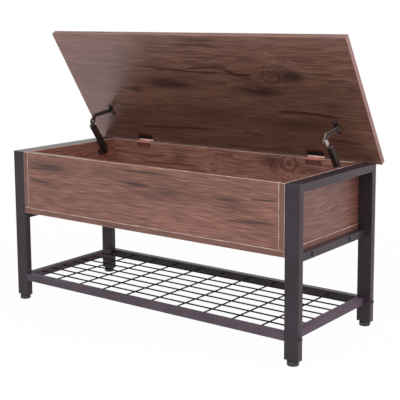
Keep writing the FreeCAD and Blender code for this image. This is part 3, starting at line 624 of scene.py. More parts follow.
        # Painted shade: some dark patches stand for shade on the board, and they join the stains
        # here.
        stain_and_shade = graph.strongest([stain_and_shade, *self.stain_and_shade_marks(graph, along, wavy, streak)])
        colour = graph.blend(stain_and_shade, colour, self.dark)
        pores = graph.noise(graph.stretch(grain, self.pore_scale), detail=1.0)
        pore = graph.spread(pores, *self.pore_span)
        colour = graph.blend(graph.times(pore, self.pore_share), colour, self.dark)
        ripple = graph.times(graph.minus(cloud, NOISE_MIDDLE), self.crack_ripple)
        lines = [*knots, *self.crack_shades(graph, along, graph.plus(across, ripple))]
        if lines:
            colour = graph.blend(graph.strongest(lines), colour, self.knot_colour)

        rough = graph.spread(streak, *NOISE_CORE, self.smooth, self.smooth + self.smooth_range)
        height = graph.minus(fibre, graph.times(pore, self.pore_depth))
        graph.set(Base_Color=colour, Roughness=rough, Specular_IOR_Level=self.sheen,
                  Specular_Tint=self.sheen_tint, IOR=self.ior,
                  Normal=graph.bump(height, self.relief, self.relief_depth))
        return graph.material


@dataclass(frozen=True)
class ArrisFinish:
    """The pale line where a board's laminate ends at its edge."""

    name: str = "pale_board_arris"
    pale: Colour = (0.62, 0.50, 0.45)
    worn: Colour = (0.40, 0.28, 0.24)
    patches: float = 30.0
    rough: Pair = (0.45, 0.6)

    def material(self) -> bpy.types.Material:
        """Builds the pale line's material.

        Returns:
            The material.
        """
        graph = FinishGraph(self.name)
        patch = graph.noise(graph.place(), scale=self.patches, detail=3.0)
        stops = [(0.0, self.worn), (1.0, self.pale)]
        graph.set(Base_Color=graph.ramp(graph.spread(patch, *NOISE_CORE), stops),
                  Roughness=graph.spread(patch, *NOISE_SPAN, *self.rough))
        return graph.material


@dataclass(frozen=True)
class PowderCoatFinish:
    """Powder coat on steel: fine orange peel, with edges painted a little lighter, partly rubbed
    paint and partly painted highlight.
    """

    name: str
    base: Colour
    edge: Colour
    rough: float
    rough_range: Pair = (-0.05, 0.07)
    gloss: float = 0.38
    patches: float = 14.0
    deepening: float = 0.82
    peel: float = 900.0
    peel_strength: float = 0.10
    peel_depth: float = 0.0002
    highlight_wear_reach: float = 0.0016
    highlight_wear_patches: Pair = (0.25, 0.7)
    highlight_wear: Pair = (0.35, 0.9)

    def material(self) -> bpy.types.Material:
        """Builds the paint's material.

        Returns:
            The material.
        """
        graph = FinishGraph(self.name)
        point = graph.place()
        cloud = graph.noise(point, scale=self.patches, detail=3.0)
        peel = graph.noise(point, scale=self.peel)
        deep = tuple(channel * self.deepening for channel in self.base)
        colour = graph.ramp(graph.spread(cloud, *NOISE_SPAN), [(0.0, deep), (1.0, self.base)])
        # Painted highlight and wear: the edges are lightened in patches.
        edge_highlight_and_wear = graph.spread(cloud, *self.highlight_wear_patches, *self.highlight_wear)
        edge_highlight_and_wear = graph.times(graph.edges(self.highlight_wear_reach), edge_highlight_and_wear)
        rough = graph.around(peel, self.rough, self.rough_range)
        graph.set(Base_Color=graph.blend(edge_highlight_and_wear, colour, self.edge), Roughness=rough,
                  Specular_IOR_Level=self.gloss,
                  Normal=graph.bump(peel, self.peel_strength, self.peel_depth))
        return graph.material


@dataclass(frozen=True)
class Band:
    """A strip of colour between two distances from a line along X through a place in Y and Z."""

    line: Pair
    near: float
    far: float
    colour: Colour
    blur: float = 0.0006

    def over(self, graph: NodeGraph, colour: Value) -> Socket:
        """Lays the strip over a colour.

        Args:
            graph: the material's nodes.
            colour: the colour outside the strip.

        Returns:
            The colour with the strip.
        """
        distance = graph.from_axis(self.line)
        inside = graph.spread(distance, self.far + self.blur, self.far - self.blur)
        if self.near:
            outside = graph.spread(distance, self.near - self.blur, self.near + self.blur)
            inside = graph.times(inside, outside)
        return graph.blend(inside, colour, self.colour)


@dataclass(frozen=True)
class MetalFinish:
    """Bare or plated metal with a patina that gathers in patches; its edges are bright, partly worn
    metal and partly painted highlight.
    """

    name: str
    bright: Colour
    patina: Colour
    cover: float = 0.5
    rough: float = 0.34
    metallic: float = 1.0
    edge_reach: float = 0.0008
    bands: tuple[Band, ...] = ()
    patches: float = 60.0
    cover_range: Pair = (-0.12, 0.2)
    rough_range: Pair = (-0.06, 0.1)
    brush_scale: Triple = (40.0, 900.0, 900.0)
    brush_strength: float = 0.08
    brush_depth: float = 0.0001

    def material(self) -> bpy.types.Material:
        """Builds the metal's material.

        Returns:
            The material.
        """
        graph = FinishGraph(self.name)
        point = graph.place()
        cloud = graph.noise(point, scale=self.patches, detail=4.0, roughness=0.6)
        brush = graph.noise(graph.stretch(point, self.brush_scale))
        patches = graph.spread(cloud, *(self.cover + step for step in self.cover_range))
        # Painted highlight and wear: edges and bare patches take the bright colour.
        bare_and_highlight = graph.strongest([patches, graph.edges(self.edge_reach)])
        colour = graph.blend(bare_and_highlight, self.patina, self.bright)
        for band in self.bands:
            colour = band.over(graph, colour)
        rough = graph.around(brush, self.rough, self.rough_range)
        graph.set(Base_Color=colour, Metallic=self.metallic, Roughness=rough,
                  Normal=graph.bump(brush, self.brush_strength, self.brush_depth))
        return graph.material


@dataclass(frozen=True)
class PlasticFinish:
    """Moulded plastic with a fine matte texture."""

    name: str
    base: Colour
    rough: float = 0.55
    rough_range: Pair = (-0.06, 0.08)
    patches: float = 40.0
    lightening: float = 1.35
    lift: float = 0.004
    texture: float = 1500.0
    texture_strength: float = 0.12
    texture_depth: float = 0.0001

    def material(self) -> bpy.types.Material:
        """Builds the plastic's material.

        Returns:
            The material.
        """
        graph = FinishGraph(self.name)
        point = graph.place()
        texture = graph.noise(point, scale=self.texture)
        cloud = graph.noise(point, scale=self.patches)
        lighter = tuple(channel * self.lightening + self.lift for channel in self.base)
        stops = [(0.0, self.base), (1.0, lighter)]
        rough = graph.around(texture, self.rough, self.rough_range)
        graph.set(Base_Color=graph.ramp(graph.spread(cloud, *NOISE_SPAN), stops), Roughness=rough,
                  Normal=graph.bump(texture, self.texture_strength, self.texture_depth))
        return graph.material


Finish = WalnutFinish | PowderCoatFinish | MetalFinish | PlasticFinish
BLACKENED_STEEL = MetalFinish("blackened_screw_steel", (0.17, 0.15, 0.145), (0.030, 0.026, 0.027),
                              cover=0.7, rough=0.4, metallic=0.6)


def both(*names: str) -> list[str]:
    """The left and right nodes of some pieces."""
    return [f"{name}_{side}" for name in names for side in SIDES]


def dress(nodes: list[str], finish: Finish) -> None:
    """Gives CAD nodes a finish.

    Args:
        nodes: names of the nodes.
        finish: the finish that they share.
    """
    material = finish.material()
    for name in nodes:
        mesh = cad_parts[name].data
        mesh.materials.clear()
        mesh.materials.append(material)
        LOG.info("dressed %s in %s", name, finish.name)


def put(name: str, data: bpy.types.ID) -> bpy.types.Object:
    """Puts an object in the scene.

    Args:
        name: the object's name.
        data: its mesh, lamp or camera.

    Returns:
        The object.
    """
    thing = bpy.data.objects.new(name, data)
    bpy.context.scene.collection.objects.link(thing)
    return thing


def put_mesh(name: str, shape: bmesh.types.BMesh,
             materials: list[bpy.types.Material]) -> bpy.types.Object:
    """Puts a finished shape in the scene.

    Args:
        name: the object's name.
        shape: its mesh, in the row frame, which is used up.
        materials: its materials, in slot order.

    Returns:
        The object.
    """
    mesh = bpy.data.meshes.new(name)
    shape.to_mesh(mesh)
    shape.free()
    for material in materials:
        mesh.materials.append(material)
    return put(name, mesh)


def add_piece(name: str, shape: bmesh.types.BMesh, body: str,
              materials: list[bpy.types.Material]) -> bpy.types.Object:
    """Makes a piece of a finished shape and lets it ride on a body.

    Args:
        name: the piece's name.
        shape: its mesh, in the row frame, which is used up.
        body: the body that carries it.
        materials: its materials, in slot order.

    Returns:
        The piece.
    """
    piece = put_mesh(name, shape, materials)
    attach(piece, body)
    LOG.info("built %s on %s", name, body)
    return piece


@dataclass
class Board:
    """A faced board with eased edges, drawn between two corners."""

    low: Vector
    high: Vector
    thin_axis: int
    easing: float
    notches: tuple[tuple[Vector, Vector], ...] = ()

    def planes(self, axis: int) -> list[float]:
        """The places on an axis where the board or one of its notches ends.

        Args:
            axis: the axis, from 0 to 2.

        Returns:
            The places, in order.
        """
        places = [corner[axis] for notch in self.notches for corner in notch]
        inside = {place for place in places if self.low[axis] < place < self.high[axis]}
        return [self.low[axis], *sorted(inside), self.high[axis]]

    def is_cut(self, point: Vector) -> bool:
        """Whether a point lies in one of the notches."""
        return any(all(low[axis] < point[axis] < high[axis] for axis in range(3))
                   for low, high in self.notches)

    def blank(self) -> bmesh.types.BMesh:
        """Builds the board with sharp edges, its notches cut out.

        Returns:
            The mesh.
        """
        planes = [self.planes(axis) for axis in range(3)]
        middles = [[(start + end) / 2 for start, end in zip(row, row[1:])] for row in planes]
        solid = set()
        for cell in itertools.product(*(range(len(row)) for row in middles)):
            if not self.is_cut(Vector(middles[axis][cell[axis]] for axis in range(3))):
                solid.add(cell)
        shape = bmesh.new()
        corners = {}
        for cell, axis, step in itertools.product(sorted(solid), range(3), (0, 1)):
            beyond = list(cell)
            beyond[axis] += 2 * step - 1
            if tuple(beyond) in solid:
                continue
            ring = []
            for turn in ((0, 0), (1, 0), (1, 1), (0, 1)):
                corner = list(cell)
                corner[axis] += step
                corner[(axis + 1) % 3] += turn[0]
                corner[(axis + 2) % 3] += turn[1]
                key = tuple(corner)
                if key not in corners:
                    point = [row[index] for row, index in zip(planes, key)]
                    corners[key] = shape.verts.new(point)
                ring.append(corners[key])
            shape.faces.new(ring if step else ring[::-1])
        bmesh.ops.dissolve_limit(shape, angle_limit=FLAT_ANGLE, verts=shape.verts,
                                 edges=shape.edges)
        return shape

    def is_outline(self, edge: bmesh.types.BMEdge) -> bool:
        """Whether an edge lies on two of the board's outer planes.

        Args:
            edge: the edge.

        Returns:
            True where it does.
        """
        shared = 0
        for axis, limit in itertools.product(range(3), (self.low, self.high)):
            shared += all(abs(vert.co[axis] - limit[axis]) < SAME_PLACE for vert in edge.verts)
        return shared == 2

    def shape(self) -> bmesh.types.BMesh:
        """Builds the board's mesh, with its faces sorted into faces, edges and arrises.

        Returns:
            The mesh.
        """
        shape = self.blank()
        outline = [edge for edge in shape.edges if self.is_outline(edge)]
        bmesh.ops.bevel(shape, geom=outline, offset=self.easing, segments=2, profile=0.5,
                        affect="EDGES")
        shape.normal_update()
        for side in shape.faces:
            along = [abs(part) for part in side.normal]
            if along[self.thin_axis] > SQUARE_ON:
                side.material_index = Part.FACE.value
            elif max(along) > SQUARE_ON:
                side.material_index = Part.EDGE.value
            else:
                side.material_index = Part.ARRIS.value
        return shape


@dataclass
class StorageBox:
    """The box: five faced boards, with beech dowels and screws that hold them."""

    easing: float = 0.0009
    notch_middle: float = 0.304
    notch_width: float = 0.0548
    notch_depth: float = 0.0023
    notch_reach: float = 0.0039
    face_contrast: float = 1.25
    edge_middle: Colour = (0.152, 0.066, 0.049)
    edge_light: Colour = (0.225, 0.110, 0.084)
    edge_contrast: float = 0.7
    edge_seed_step: float = 5.0
    boards: dict[str, tuple[Lay, int, float]] = field(default_factory=lambda: {
        "box_front": (Lay.UPRIGHT_LENGTHWISE, 1, 3.1),
        "box_rear": (Lay.UPRIGHT_LENGTHWISE, 1, 11.7),
        "box_side_left": (Lay.UPRIGHT_DEPTHWISE, 0, 21.4),
        "box_side_right": (Lay.UPRIGHT_DEPTHWISE, 0, 27.2),
        "box_bottom": (Lay.FLAT_LENGTHWISE, 2, 33.9),
    })
    # Painted light and shade: the rear and left boards are lightened to lift their shaded insides,
    # and the right board is darkened under the lamps.
    painted_light_levels: dict[str, float] = field(default_factory=lambda: {
        "box_front": 1.04, "box_rear": 1.2, "box_side_left": 1.5, "box_side_right": 0.78,
    })
    knots: dict[str, tuple[Knot, ...]] = field(default_factory=lambda: {
        "box_rear": (Knot(0.226, 0.4190, 0.046, 0.042, 0.62),
                     Knot(0.177, 0.401, 0.020, 0.018, 0.55),
                     Knot(-0.033, 0.383, 0.022, 0.020, 0.50)),
        "box_side_right": (Knot(0.030, 0.345, 0.052, 0.020, 0.45),),
    })
    stains_and_shade: dict[str, tuple[StainAndShade, ...]] = field(default_factory=lambda: {
        "box_front": (StainAndShade(-0.340, 0.408, 0.110, 0.022, 0.95),
                      StainAndShade(-0.365, 0.358, 0.060, 0.010, 0.85),
                      StainAndShade(-0.022, 0.392, 0.075, 0.010, 1.0),
                      StainAndShade(0.110, 0.383, 0.085, 0.016, 0.90),
                      StainAndShade(0.275, 0.384, 0.060, 0.012, 0.90),
                      StainAndShade(0.290, 0.366, 0.055, 0.012, 0.65),
                      StainAndShade(0.364, 0.337, 0.050, 0.008, 0.80),
                      StainAndShade(0.035, 0.366, 0.080, 0.012, 0.60),
                      StainAndShade(-0.130, 0.412, 0.090, 0.010, 0.55),
                      # A broad soft patch that darkens the front board's upper half.
                      StainAndShade(0.060, 0.405, 0.420, 0.034, 0.24)),
        "box_rear": (StainAndShade(0.165, 0.422, 0.045, 0.016, 1.2),
                     StainAndShade(0.300, 0.405, 0.040, 0.012, 0.70),
                     StainAndShade(-0.168, 0.402, 0.030, 0.020, 0.60)),
        "box_side_right": (StainAndShade(0.10, 0.385, 0.050, 0.014, 0.40),),
    })
    cracks: dict[str, tuple[Crack, ...]] = field(default_factory=lambda: {
        "box_front": (Crack(((-0.428, 0.396), (-0.357, 0.400), (-0.285, 0.401)), 0.0035, 0.75),
                      Crack(((-0.425, 0.366), (-0.385, 0.363), (-0.335, 0.362)), 0.0035, 0.60),
                      Crack(((-0.080, 0.424), (0.000, 0.4255), (0.073, 0.425), (0.125, 0.4255)),
                            0.0032, 0.75),
                      Crack(((-0.060, 0.394), (-0.020, 0.3925), (0.030, 0.391)), 0.0032, 0.60),
                      Crack(((0.340, 0.3915), (0.428, 0.3965)), 0.0035, 0.75),
                      Crack(((0.265, 0.333), (0.346, 0.336), (0.428, 0.3415)), 0.0035, 0.70)),
        "box_rear": (Crack(((-0.412, 0.404), (-0.279, 0.3995), (-0.199, 0.406)), 0.0035, 0.60),
                     Crack(((-0.330, 0.3765), (-0.161, 0.382), (-0.066, 0.382)), 0.0035, 0.55),
                     Crack(((-0.040, 0.4265), (0.045, 0.4210)), 0.0040, 0.60)),
    })
    beech: WalnutFinish = WalnutFinish(
        "beech_dowel", Lay.FLAT_LENGTHWISE, 51.0, dark=(0.33, 0.21, 0.11),
        middle=(0.48, 0.33, 0.20), light=(0.62, 0.46, 0.30), contrast=0.6)
    screw_steel: MetalFinish = replace(BLACKENED_STEEL, name="blackened_fixing_steel")

    def hinge_notches(self, high: Vector) -> tuple[tuple[Vector, Vector], ...]:
        """The cut-outs in the rear board's top for the hinge barrels.

        Args:
            high: the board's highest corner.

        Returns:
            The lowest and highest corners of each cut-out.
        """
        half = self.notch_width / 2
        notches = []
        for middle in (-self.notch_middle, self.notch_middle):
            low = (middle - half, high.y - self.notch_reach, high.z - self.notch_depth)
            notches.append((Vector(low), Vector((middle + half, high.y + half, high.z + half))))
        return tuple(notches)

    def build(self) -> None:
        """Builds the boards over the CAD ones."""
        arris = ArrisFinish().material()
        for node, (lay, thin_axis, seed) in self.boards.items():
            low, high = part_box(node)
            marks = (group.get(node, ()) for group in (self.knots, self.stains_and_shade, self.cracks))
            face = WalnutFinish(f"walnut_{node}", lay, seed, *marks, contrast=self.face_contrast)
            edge = WalnutFinish(f"walnut_edge_{node}", lay, seed + self.edge_seed_step,
                                middle=self.edge_middle, light=self.edge_light,
                                contrast=self.edge_contrast)
            materials = [face.with_painted_light(self.painted_light_levels.get(node, 1.0)).material(), edge.material(), arris]
            notches = self.hinge_notches(high) if node == "box_rear" else ()
            shape = Board(low, high, thin_axis, self.easing, notches).shape()
            piece = add_piece(f"{node}_board", shape, ROOT, materials)
            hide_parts(node)

    def dress(self) -> None:
        """Gives the dowels and the hidden screws their finishes."""
        dress(["box_dowels"], self.beech)
        dress(["box_fixing_screws"], self.screw_steel)


@dataclass
class LiftLid:
    """The lid board, which stands open on its hinges."""

    length: float = 1.0
    depth: float = 0.398
    thickness: float = 0.016
    easing: float = 0.001
    hinge_y: float = 0.1927
    hinge_z: float = 0.4423
    tail: float = 0.006
    rise: float = 0.0025
    open_angle: float = math.radians(58.0)
    knots: tuple[Knot, ...] = (
        Knot(0.243, -0.074, 0.052, 0.036, 0.62),
        Knot(0.290, -0.090, 0.022, 0.016, 0.50),
        Knot(0.075, -0.051, 0.024, 0.016, 0.45),
        Knot(-0.249, -0.008, 0.020, 0.016, 0.60),
    )
    stains_and_shade: tuple[StainAndShade, ...] = (
        StainAndShade(-0.130, -0.032, 0.120, 0.020, 1.35),
        StainAndShade(0.195, -0.026, 0.085, 0.020, 1.4),
        StainAndShade(0.310, -0.079, 0.040, 0.020, 1.6),
        # Painted shade: this broad patch and the ones at 0.400, 0.478 and 0.285 along darken the
        # lid's right part, which lies in shade.
        StainAndShade(0.380, -0.010, 0.220, 0.110, 0.32),
        StainAndShade(0.055, -0.187, 0.060, 0.006, 1.2),
        StainAndShade(0.080, -0.099, 0.024, 0.008, 1.3),
        StainAndShade(-0.440, -0.020, 0.050, 0.022, 0.55),
        StainAndShade(0.400, 0.010, 0.080, 0.020, 0.65),
        StainAndShade(0.478, -0.045, 0.036, 0.024, 0.60),
        StainAndShade(0.285, 0.085, 0.130, 0.026, 0.85),
        StainAndShade(-0.270, -0.008, 0.055, 0.009, 1.1),
        StainAndShade(0.020, 0.060, 0.160, 0.030, 0.45),
    )
    cracks: tuple[Crack, ...] = (
        Crack(((-0.379, -0.109), (-0.310, -0.109), (-0.240, -0.106)), 0.0032, 0.60),
        Crack(((-0.262, -0.098), (-0.164, -0.089), (-0.110, -0.084), (-0.040, -0.080),
               (0.030, -0.0785), (0.110, -0.081)), 0.0042, 0.95),
        Crack(((-0.031, -0.092), (0.018, -0.093), (0.070, -0.100)), 0.0036, 0.80),
        Crack(((0.085, -0.094), (0.113, -0.083), (0.144, -0.075), (0.185, -0.077)), 0.0055, 0.98),
        Crack(((0.080, -0.081), (0.132, -0.071), (0.190, -0.060)), 0.0038, 0.80),
        Crack(((-0.325, 0.142), (-0.205, 0.1315), (-0.108, 0.129), (0.000, 0.1265)), 0.0055, 0.80),
        Crack(((0.215, 0.044), (0.286, 0.042), (0.329, 0.044), (0.425, 0.050)), 0.0060, 0.95),
        Crack(((0.320, 0.126), (0.410, 0.1295), (0.480, 0.139)), 0.0060, 0.65),
        Crack(((0.085, 0.124), (0.145, 0.1295)), 0.0050, 0.60),
        Crack(((-0.060, -0.170), (0.032, -0.1695), (0.105, -0.162)), 0.0050, 0.65),
        Crack(((0.375, -0.0865), (0.440, -0.087)), 0.0040, 0.60),
        Crack(((0.405, -0.0675), (0.475, -0.0685)), 0.0045, 0.60),
    )
    seat_knots: tuple[Knot, ...] = (
        Knot(-0.210, 0.040, 0.050, 0.030, 0.60),
        Knot(0.330, -0.110, 0.034, 0.022, 0.55),
    )
    seat_smudges: tuple[StainAndShade, ...] = (
        StainAndShade(-0.150, 0.045, 0.070, 0.020, 1.0),
        StainAndShade(0.060, -0.090, 0.110, 0.018, 0.90),
        StainAndShade(0.290, 0.095, 0.120, 0.022, 0.75),
        StainAndShade(-0.360, -0.080, 0.100, 0.020, 0.80),
    )
    seat_cracks: tuple[Crack, ...] = (
        Crack(((-0.120, 0.052), (0.010, 0.046), (0.130, 0.050)), 0.0042, 0.85),
        Crack(((0.120, -0.030), (0.230, -0.034), (0.330, -0.029)), 0.0040, 0.75),
        Crack(((-0.440, 0.110), (-0.330, 0.114), (-0.220, 0.109)), 0.0040, 0.70),
    )

    def finishes(self) -> tuple[WalnutFinish, WalnutFinish, WalnutFinish]:
        """The lid's laminates, laid out on the board before it is turned open.

        Returns:
            The inner face's, the edges' and the seat's.
        """
        common = {"lay": Lay.FLAT_LENGTHWISE, "tilt": self.open_angle,
                  "pivot": (0.0, self.hinge_y, self.hinge_z)}
        # Painted shade: the inner face's colours are darker than the seat's, for the shade on the
        # open lid's underside.
        face = WalnutFinish(
            "walnut_lid_painted_shade", seed=41.3, knots=self.knots, stains_and_shade=self.stains_and_shade, cracks=self.cracks,
            dark=(0.026, 0.014, 0.010), middle=(0.128, 0.059, 0.038), light=(0.240, 0.128, 0.088),
            sheen=1.0, sheen_tint=(1.0, 0.72, 0.76), ior=1.62, smooth=0.30, **common)
        edge = WalnutFinish(
            "walnut_edge_lid", seed=46.0, middle=(0.180, 0.085, 0.066),
            light=(0.260, 0.140, 0.112), contrast=0.7, **common)
        seat = WalnutFinish(
            "walnut_seat", seed=48.6, knots=self.seat_knots, stains_and_shade=self.seat_smudges,
            cracks=self.seat_cracks, contrast=1.25, **common)
        return face, edge, seat

    def build(self) -> None:
        """Builds the lid over the CAD one."""
        half, rear, under = self.length / 2, self.hinge_y + self.tail, self.hinge_z + self.rise
        low = Vector((-half, rear - self.depth, under))
        high = Vector((half, rear, under + self.thickness))
        shape = Board(low, high, 2, self.easing).shape()
        for side in shape.faces:
            if side.normal.z > SQUARE_ON:
                side.material_index = Part.SEAT.value
        shift = Matrix.Translation((0.0, self.hinge_y, self.hinge_z))
        turn = shift @ Matrix.Rotation(-self.open_angle, 4, "X") @ shift.inverted()
        bmesh.ops.transform(shape, matrix=turn, verts=shape.verts)
        face, edge, seat = (finish.material() for finish in self.finishes())
        piece = add_piece("lid_board", shape, LID, [face, edge, edge, seat])
        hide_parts("lid_panel")


@dataclass
class SteelFrame:
    """Legs, rails and bolts in charcoal powder coat."""

    paint: PowderCoatFinish = PowderCoatFinish(
        "charcoal_powder_coat", (0.038, 0.028, 0.036), (0.105, 0.082, 0.098), rough=0.32,
        gloss=0.20)
    # Painted light: a lighter copy of the charcoal coat for the front and side rails, which catch
    # more light; the shaded rear rail keeps the darker coat.
    lit_rail_paint: PowderCoatFinish = PowderCoatFinish(
        "charcoal_coat_painted_light", (0.102, 0.079, 0.098), (0.125, 0.100, 0.120), rough=0.45, gloss=0.05)
    bolt_paint: PowderCoatFinish = PowderCoatFinish(
        "black_bolt", (0.022, 0.020, 0.022), (0.12, 0.11, 0.11), rough=0.36)
    zinc: MetalFinish = MetalFinish("zinc_insert", (0.55, 0.55, 0.56), (0.32, 0.32, 0.33))

    def dress(self) -> None:
        """Gives the tubes, bolts and inserts their finishes."""
        tubes = both("leg_front", "leg_rear", "top_rail", "bearer")
        dress([*tubes, "shelf_rear_rail", "stretcher_front", "stretcher_rear"], self.paint)
        dress(["shelf_front_rail", *both("shelf_side_rail")], self.lit_rail_paint)
        dress(["shelf_bolts", "stretcher_bolts"], self.bolt_paint)
        dress(["shelf_inserts", "stretcher_inserts"], self.zinc)


@dataclass
class WireShelf:
    """The shelf's welded wires."""

    paint: PowderCoatFinish = PowderCoatFinish(
        "black_wire_coat", (0.006, 0.003, 0.006), (0.012, 0.008, 0.012), rough=0.55, gloss=0.10)

    def dress(self) -> None:
        """Gives the wires their finish."""
        dress(["shelf_long_wires", "shelf_cross_wires"], self.paint)


@dataclass
class LevellingFeet:
    """The plugs in the leg ends and the feet that turn in them."""

    plastic: PlasticFinish = PlasticFinish("black_foot_plastic", (0.020, 0.018, 0.020))

    def dress(self) -> None:
        """Gives the feet and plugs their finish."""
        dress([*both("foot_front", "foot_rear"), "leg_plugs"], self.plastic)


@dataclass
class LidHinges:
    """Antique copper hinges with flush screws."""

    pin: Pair = (0.1927, 0.4423)
    bend: Pair = (0.1768, 0.4432)
    flange_middle: Pair = (0.1850, 0.4432)
    flange_shade_half: float = 0.0075
    bend_highlight_reach: float = 0.0050
    barrel_highlight_reach: float = 0.0030
    lid_highlight_reach: float = 0.0058
    lid_lip: Pair = (0.0205, 0.0400)
    screw_steel: MetalFinish = MetalFinish(
        "hinge_screw_steel", (0.05, 0.045, 0.04), (0.012, 0.013, 0.012), cover=0.75, rough=0.4,
        metallic=0.5, edge_reach=0.0003)

    def box_leaf(self) -> MetalFinish:
        """Reddish copper, with painted shade on its top flange and painted highlights along its
        bend and barrel.

        Returns:
            The finish.
        """
        # Painted shade on the flange top, then painted highlights on the bend and round the barrel.
        bands = (Band(self.flange_middle, 0.0, self.flange_shade_half, (0.020, 0.009, 0.008)),
                 Band(self.bend, 0.0, self.bend_highlight_reach, (0.76, 0.28, 0.20)),
                 Band(self.pin, 0.0, self.barrel_highlight_reach, (0.86, 0.62, 0.60)))
        return MetalFinish("copper_box_leaf", (0.30, 0.10, 0.08), (0.150, 0.056, 0.046), cover=0.7,
                           rough=0.36, metallic=0.35, edge_reach=0.0010, bands=bands)

    def lid_leaf(self) -> MetalFinish:
        """Blackened copper with a reddish lip and a painted highlight beside the pin.

        Returns:
            The finish.
        """
        bands = (Band(self.pin, *self.lid_lip, (0.120, 0.046, 0.036)),
                 # Painted highlight: the bright line along the pin.
                 Band(self.pin, 0.0, self.lid_highlight_reach, (0.88, 0.64, 0.63)))
        return MetalFinish("copper_lid_leaf", (0.06, 0.035, 0.030), (0.014, 0.011, 0.012),
                           cover=0.75, rough=0.36, metallic=0.35, edge_reach=0.0006, bands=bands)

    def dress(self) -> None:
        """Gives the leaves, pins and screws their finishes."""
        dress(both("hinge_leaf", "hinge_pin"), self.box_leaf())
        dress(both("lid_leaf"), self.lid_leaf())
        dress(["hinge_screws", "lid_leaf_screws"], self.screw_steel)


@dataclass
class LidStays:
    """Folding lid stays: painted housings, dark arms whose bright edges are partly worn metal and
    partly painted highlight, and dark screws.
    """

    base: Pair = (0.1227, 0.4163)
    link: float = 0.1121
    fold: float = math.radians(55.44)
    elbow_highlight_reach: float = 0.013
    paint: PowderCoatFinish = PowderCoatFinish(
        "dark_bronze_coat", (0.026, 0.018, 0.016), (0.13, 0.085, 0.07), rough=0.34)
    # Painted highlight and wear: the dark arm's edges take the bright colour.
    arm: MetalFinish = MetalFinish(
        "arm_steel_edge_highlight", (0.66, 0.53, 0.51), (0.072, 0.058, 0.057), cover=0.85, rough=0.3,
        metallic=0.3, edge_reach=0.0014)
    nickel: MetalFinish = MetalFinish(
        "bright_nickel", (0.78, 0.70, 0.68), (0.40, 0.34, 0.33), cover=0.42, rough=0.24)

    def elbow(self) -> Pair:
        """The elbow pin's place in Y and Z, with the lid at rest."""
        y, z = self.base
        return y - self.link * math.cos(self.fold), z + self.link * math.sin(self.fold)

    def tongue(self) -> MetalFinish:
        """Brown steel in the housing, with a painted highlight round the elbow.

        Returns:
            The finish.
        """
        # Painted highlight round the elbow pin.
        bright = Band(self.elbow(), 0.0, self.elbow_highlight_reach, (0.70, 0.60, 0.58))
        return MetalFinish("browned_tongue_steel", (0.16, 0.09, 0.065), (0.060, 0.034, 0.026),
                           cover=0.6, rough=0.32, metallic=0.5, edge_reach=0.0005, bands=(bright,))

    def dress(self) -> None:
        """Gives the arms, plates, brackets, pins and screws their finishes."""
        painted = both("stay_plate", "stay_lower_arm", "lid_bracket")
        dress([*painted, "stay_base_pins", "stay_plate_screws"], self.paint)
        dress(both("stay_upper_arm"), self.arm)
        dress(both("stay_tongue"), self.tongue())
        dress(both("stay_elbow_pin"), self.nickel)
        dress(["lid_bracket_pins", "lid_bracket_screws"], BLACKENED_STEEL)


@dataclass(frozen=True)
class Lamp:
    """A soft square lamp: where it hangs, the length of its sides, its watts and its colour."""

    name: str
    place: Triple
    size: float
    power: float
    colour: Colour = WHITE


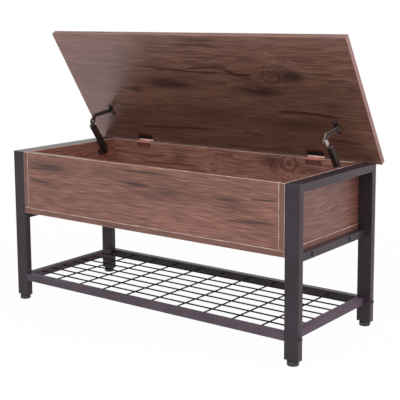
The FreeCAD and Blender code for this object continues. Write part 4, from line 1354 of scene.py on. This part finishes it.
@dataclass
class Studio:
    """A white floor under soft light, with a camera that sees the bench from the front right."""

    camera_place: Triple = (1.62225, -2.0768, 0.84312)
    right: Triple = (0.797748, 0.602964, -0.005776)
    up: Triple = (-0.082114, 0.11812, 0.989598)
    lens: float = 86.473
    sensor: float = 36.0
    shift: float = -0.125
    farthest: float = 100.0
    aim: Triple = (0.0, 0.0, 0.4)
    ambient: float = 0.55
    floor_size: float = 60.0
    floor_colour: Colour = (0.9, 0.9, 0.9)
    floor_white: float = 0.965
    floor_fade: Pair = (0.7, 2.2)
    lamps: tuple[Lamp, ...] = (
        Lamp("key", (0.2, -2.4, 2.2), 2.2, 40.0),
        Lamp("side", (2.8, 0.2, 1.7), 2.0, 26.0, BLUSH),
        Lamp("rear_side", (2.3, 1.9, 1.0), 1.4, 22.0, BLUSH),
        Lamp("box_fill", (1.3, -1.1, 2.3), 1.2, 12.0),
    )

    def build_camera(self) -> None:
        """Puts the camera in place and makes it the scene's own."""
        data = bpy.data.cameras.new("bench_camera")
        data.lens = self.lens
        data.sensor_width = self.sensor
        data.shift_y = self.shift
        data.clip_end = self.farthest
        right, up = Vector(self.right), Vector(self.up)
        back = right.cross(up).normalized()
        turn = Matrix((right, up, back)).transposed().to_4x4()
        camera = put("bench_camera", data)
        camera.matrix_world = Matrix.Translation(self.camera_place) @ turn
        bpy.context.scene.camera = camera

    def build_world(self) -> None:
        """Lights the scene evenly and shows white behind it."""
        world = bpy.data.worlds.new("bench_world")
        bpy.context.scene.world = world
        world.use_nodes = True
        graph = NodeGraph(world.node_tree)
        background = graph.tree.nodes["Background"]
        graph.feed(background.inputs["Color"], WHITE)
        levels = {0: graph.seen_directly(), 3: self.ambient, 4: 1.0}
        level = graph.add("ShaderNodeMapRange", levels)
        graph.feed(background.inputs["Strength"], level.outputs[0])

    def floor_material(self) -> bpy.types.Material:
        """Builds the floor's material: matte for the light, and white where it is seen.

        Returns:
            The material.
        """
        material = bpy.data.materials.new("white_floor")
        material.use_nodes = True
        graph = NodeGraph(material.node_tree)
        graph.tree.nodes.clear()
        far = graph.add("ShaderNodeVectorMath", {0: graph.place()}, operation="LENGTH")
        fade = graph.spread(far.outputs["Value"], *self.floor_fade, self.floor_white, 1.0)
        share = graph.times(graph.seen_directly(), fade)
        matte = graph.add("ShaderNodeBsdfDiffuse", {"Color": self.floor_colour}).outputs[0]
        glow = graph.add("ShaderNodeEmission", {}).outputs[0]
        mix = graph.add("ShaderNodeMixShader", {0: share, 1: matte, 2: glow}).outputs[0]
        graph.add("ShaderNodeOutputMaterial", {"Surface": mix})
        return material

    def build_floor(self) -> None:
        """Lays a white floor that keeps a faint shadow of the bench."""
        shape = bmesh.new()
        bmesh.ops.create_grid(shape, x_segments=1, y_segments=1, size=self.floor_size / 2)
        floor = put_mesh("floor", shape, [self.floor_material()])

    def hang(self, lamp: Lamp) -> None:
        """Hangs a lamp that faces the bench.

        Args:
            lamp: the lamp.
        """
        data = bpy.data.lights.new(lamp.name, "AREA")
        data.size = lamp.size
        data.energy = lamp.power
        data.color = lamp.colour
        hung = put(lamp.name, data)
        hung.location = lamp.place
        sight = Vector(self.aim) - Vector(lamp.place)
        hung.rotation_euler = sight.to_track_quat("-Z", "Y").to_euler()

    def build(self) -> None:
        """Sets up the whole studio."""
        bpy.context.scene.view_settings.view_transform = "Standard"
        self.build_world()
        self.build_floor()
        for lamp in self.lamps:
            self.hang(lamp)
        self.build_camera()


def main() -> None:
    """Builds and dresses the bench, then its studio."""
    logging.basicConfig(level=logging.INFO, format="%(name)s: %(message)s")
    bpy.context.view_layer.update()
    box = StorageBox()
    box.build()
    box.dress()
    LiftLid().build()
    for assembly in (SteelFrame(), WireShelf(), LevellingFeet(), LidHinges(), LidStays()):
        assembly.dress()
    Studio().build()


if __name__ == "__main__":
    main()
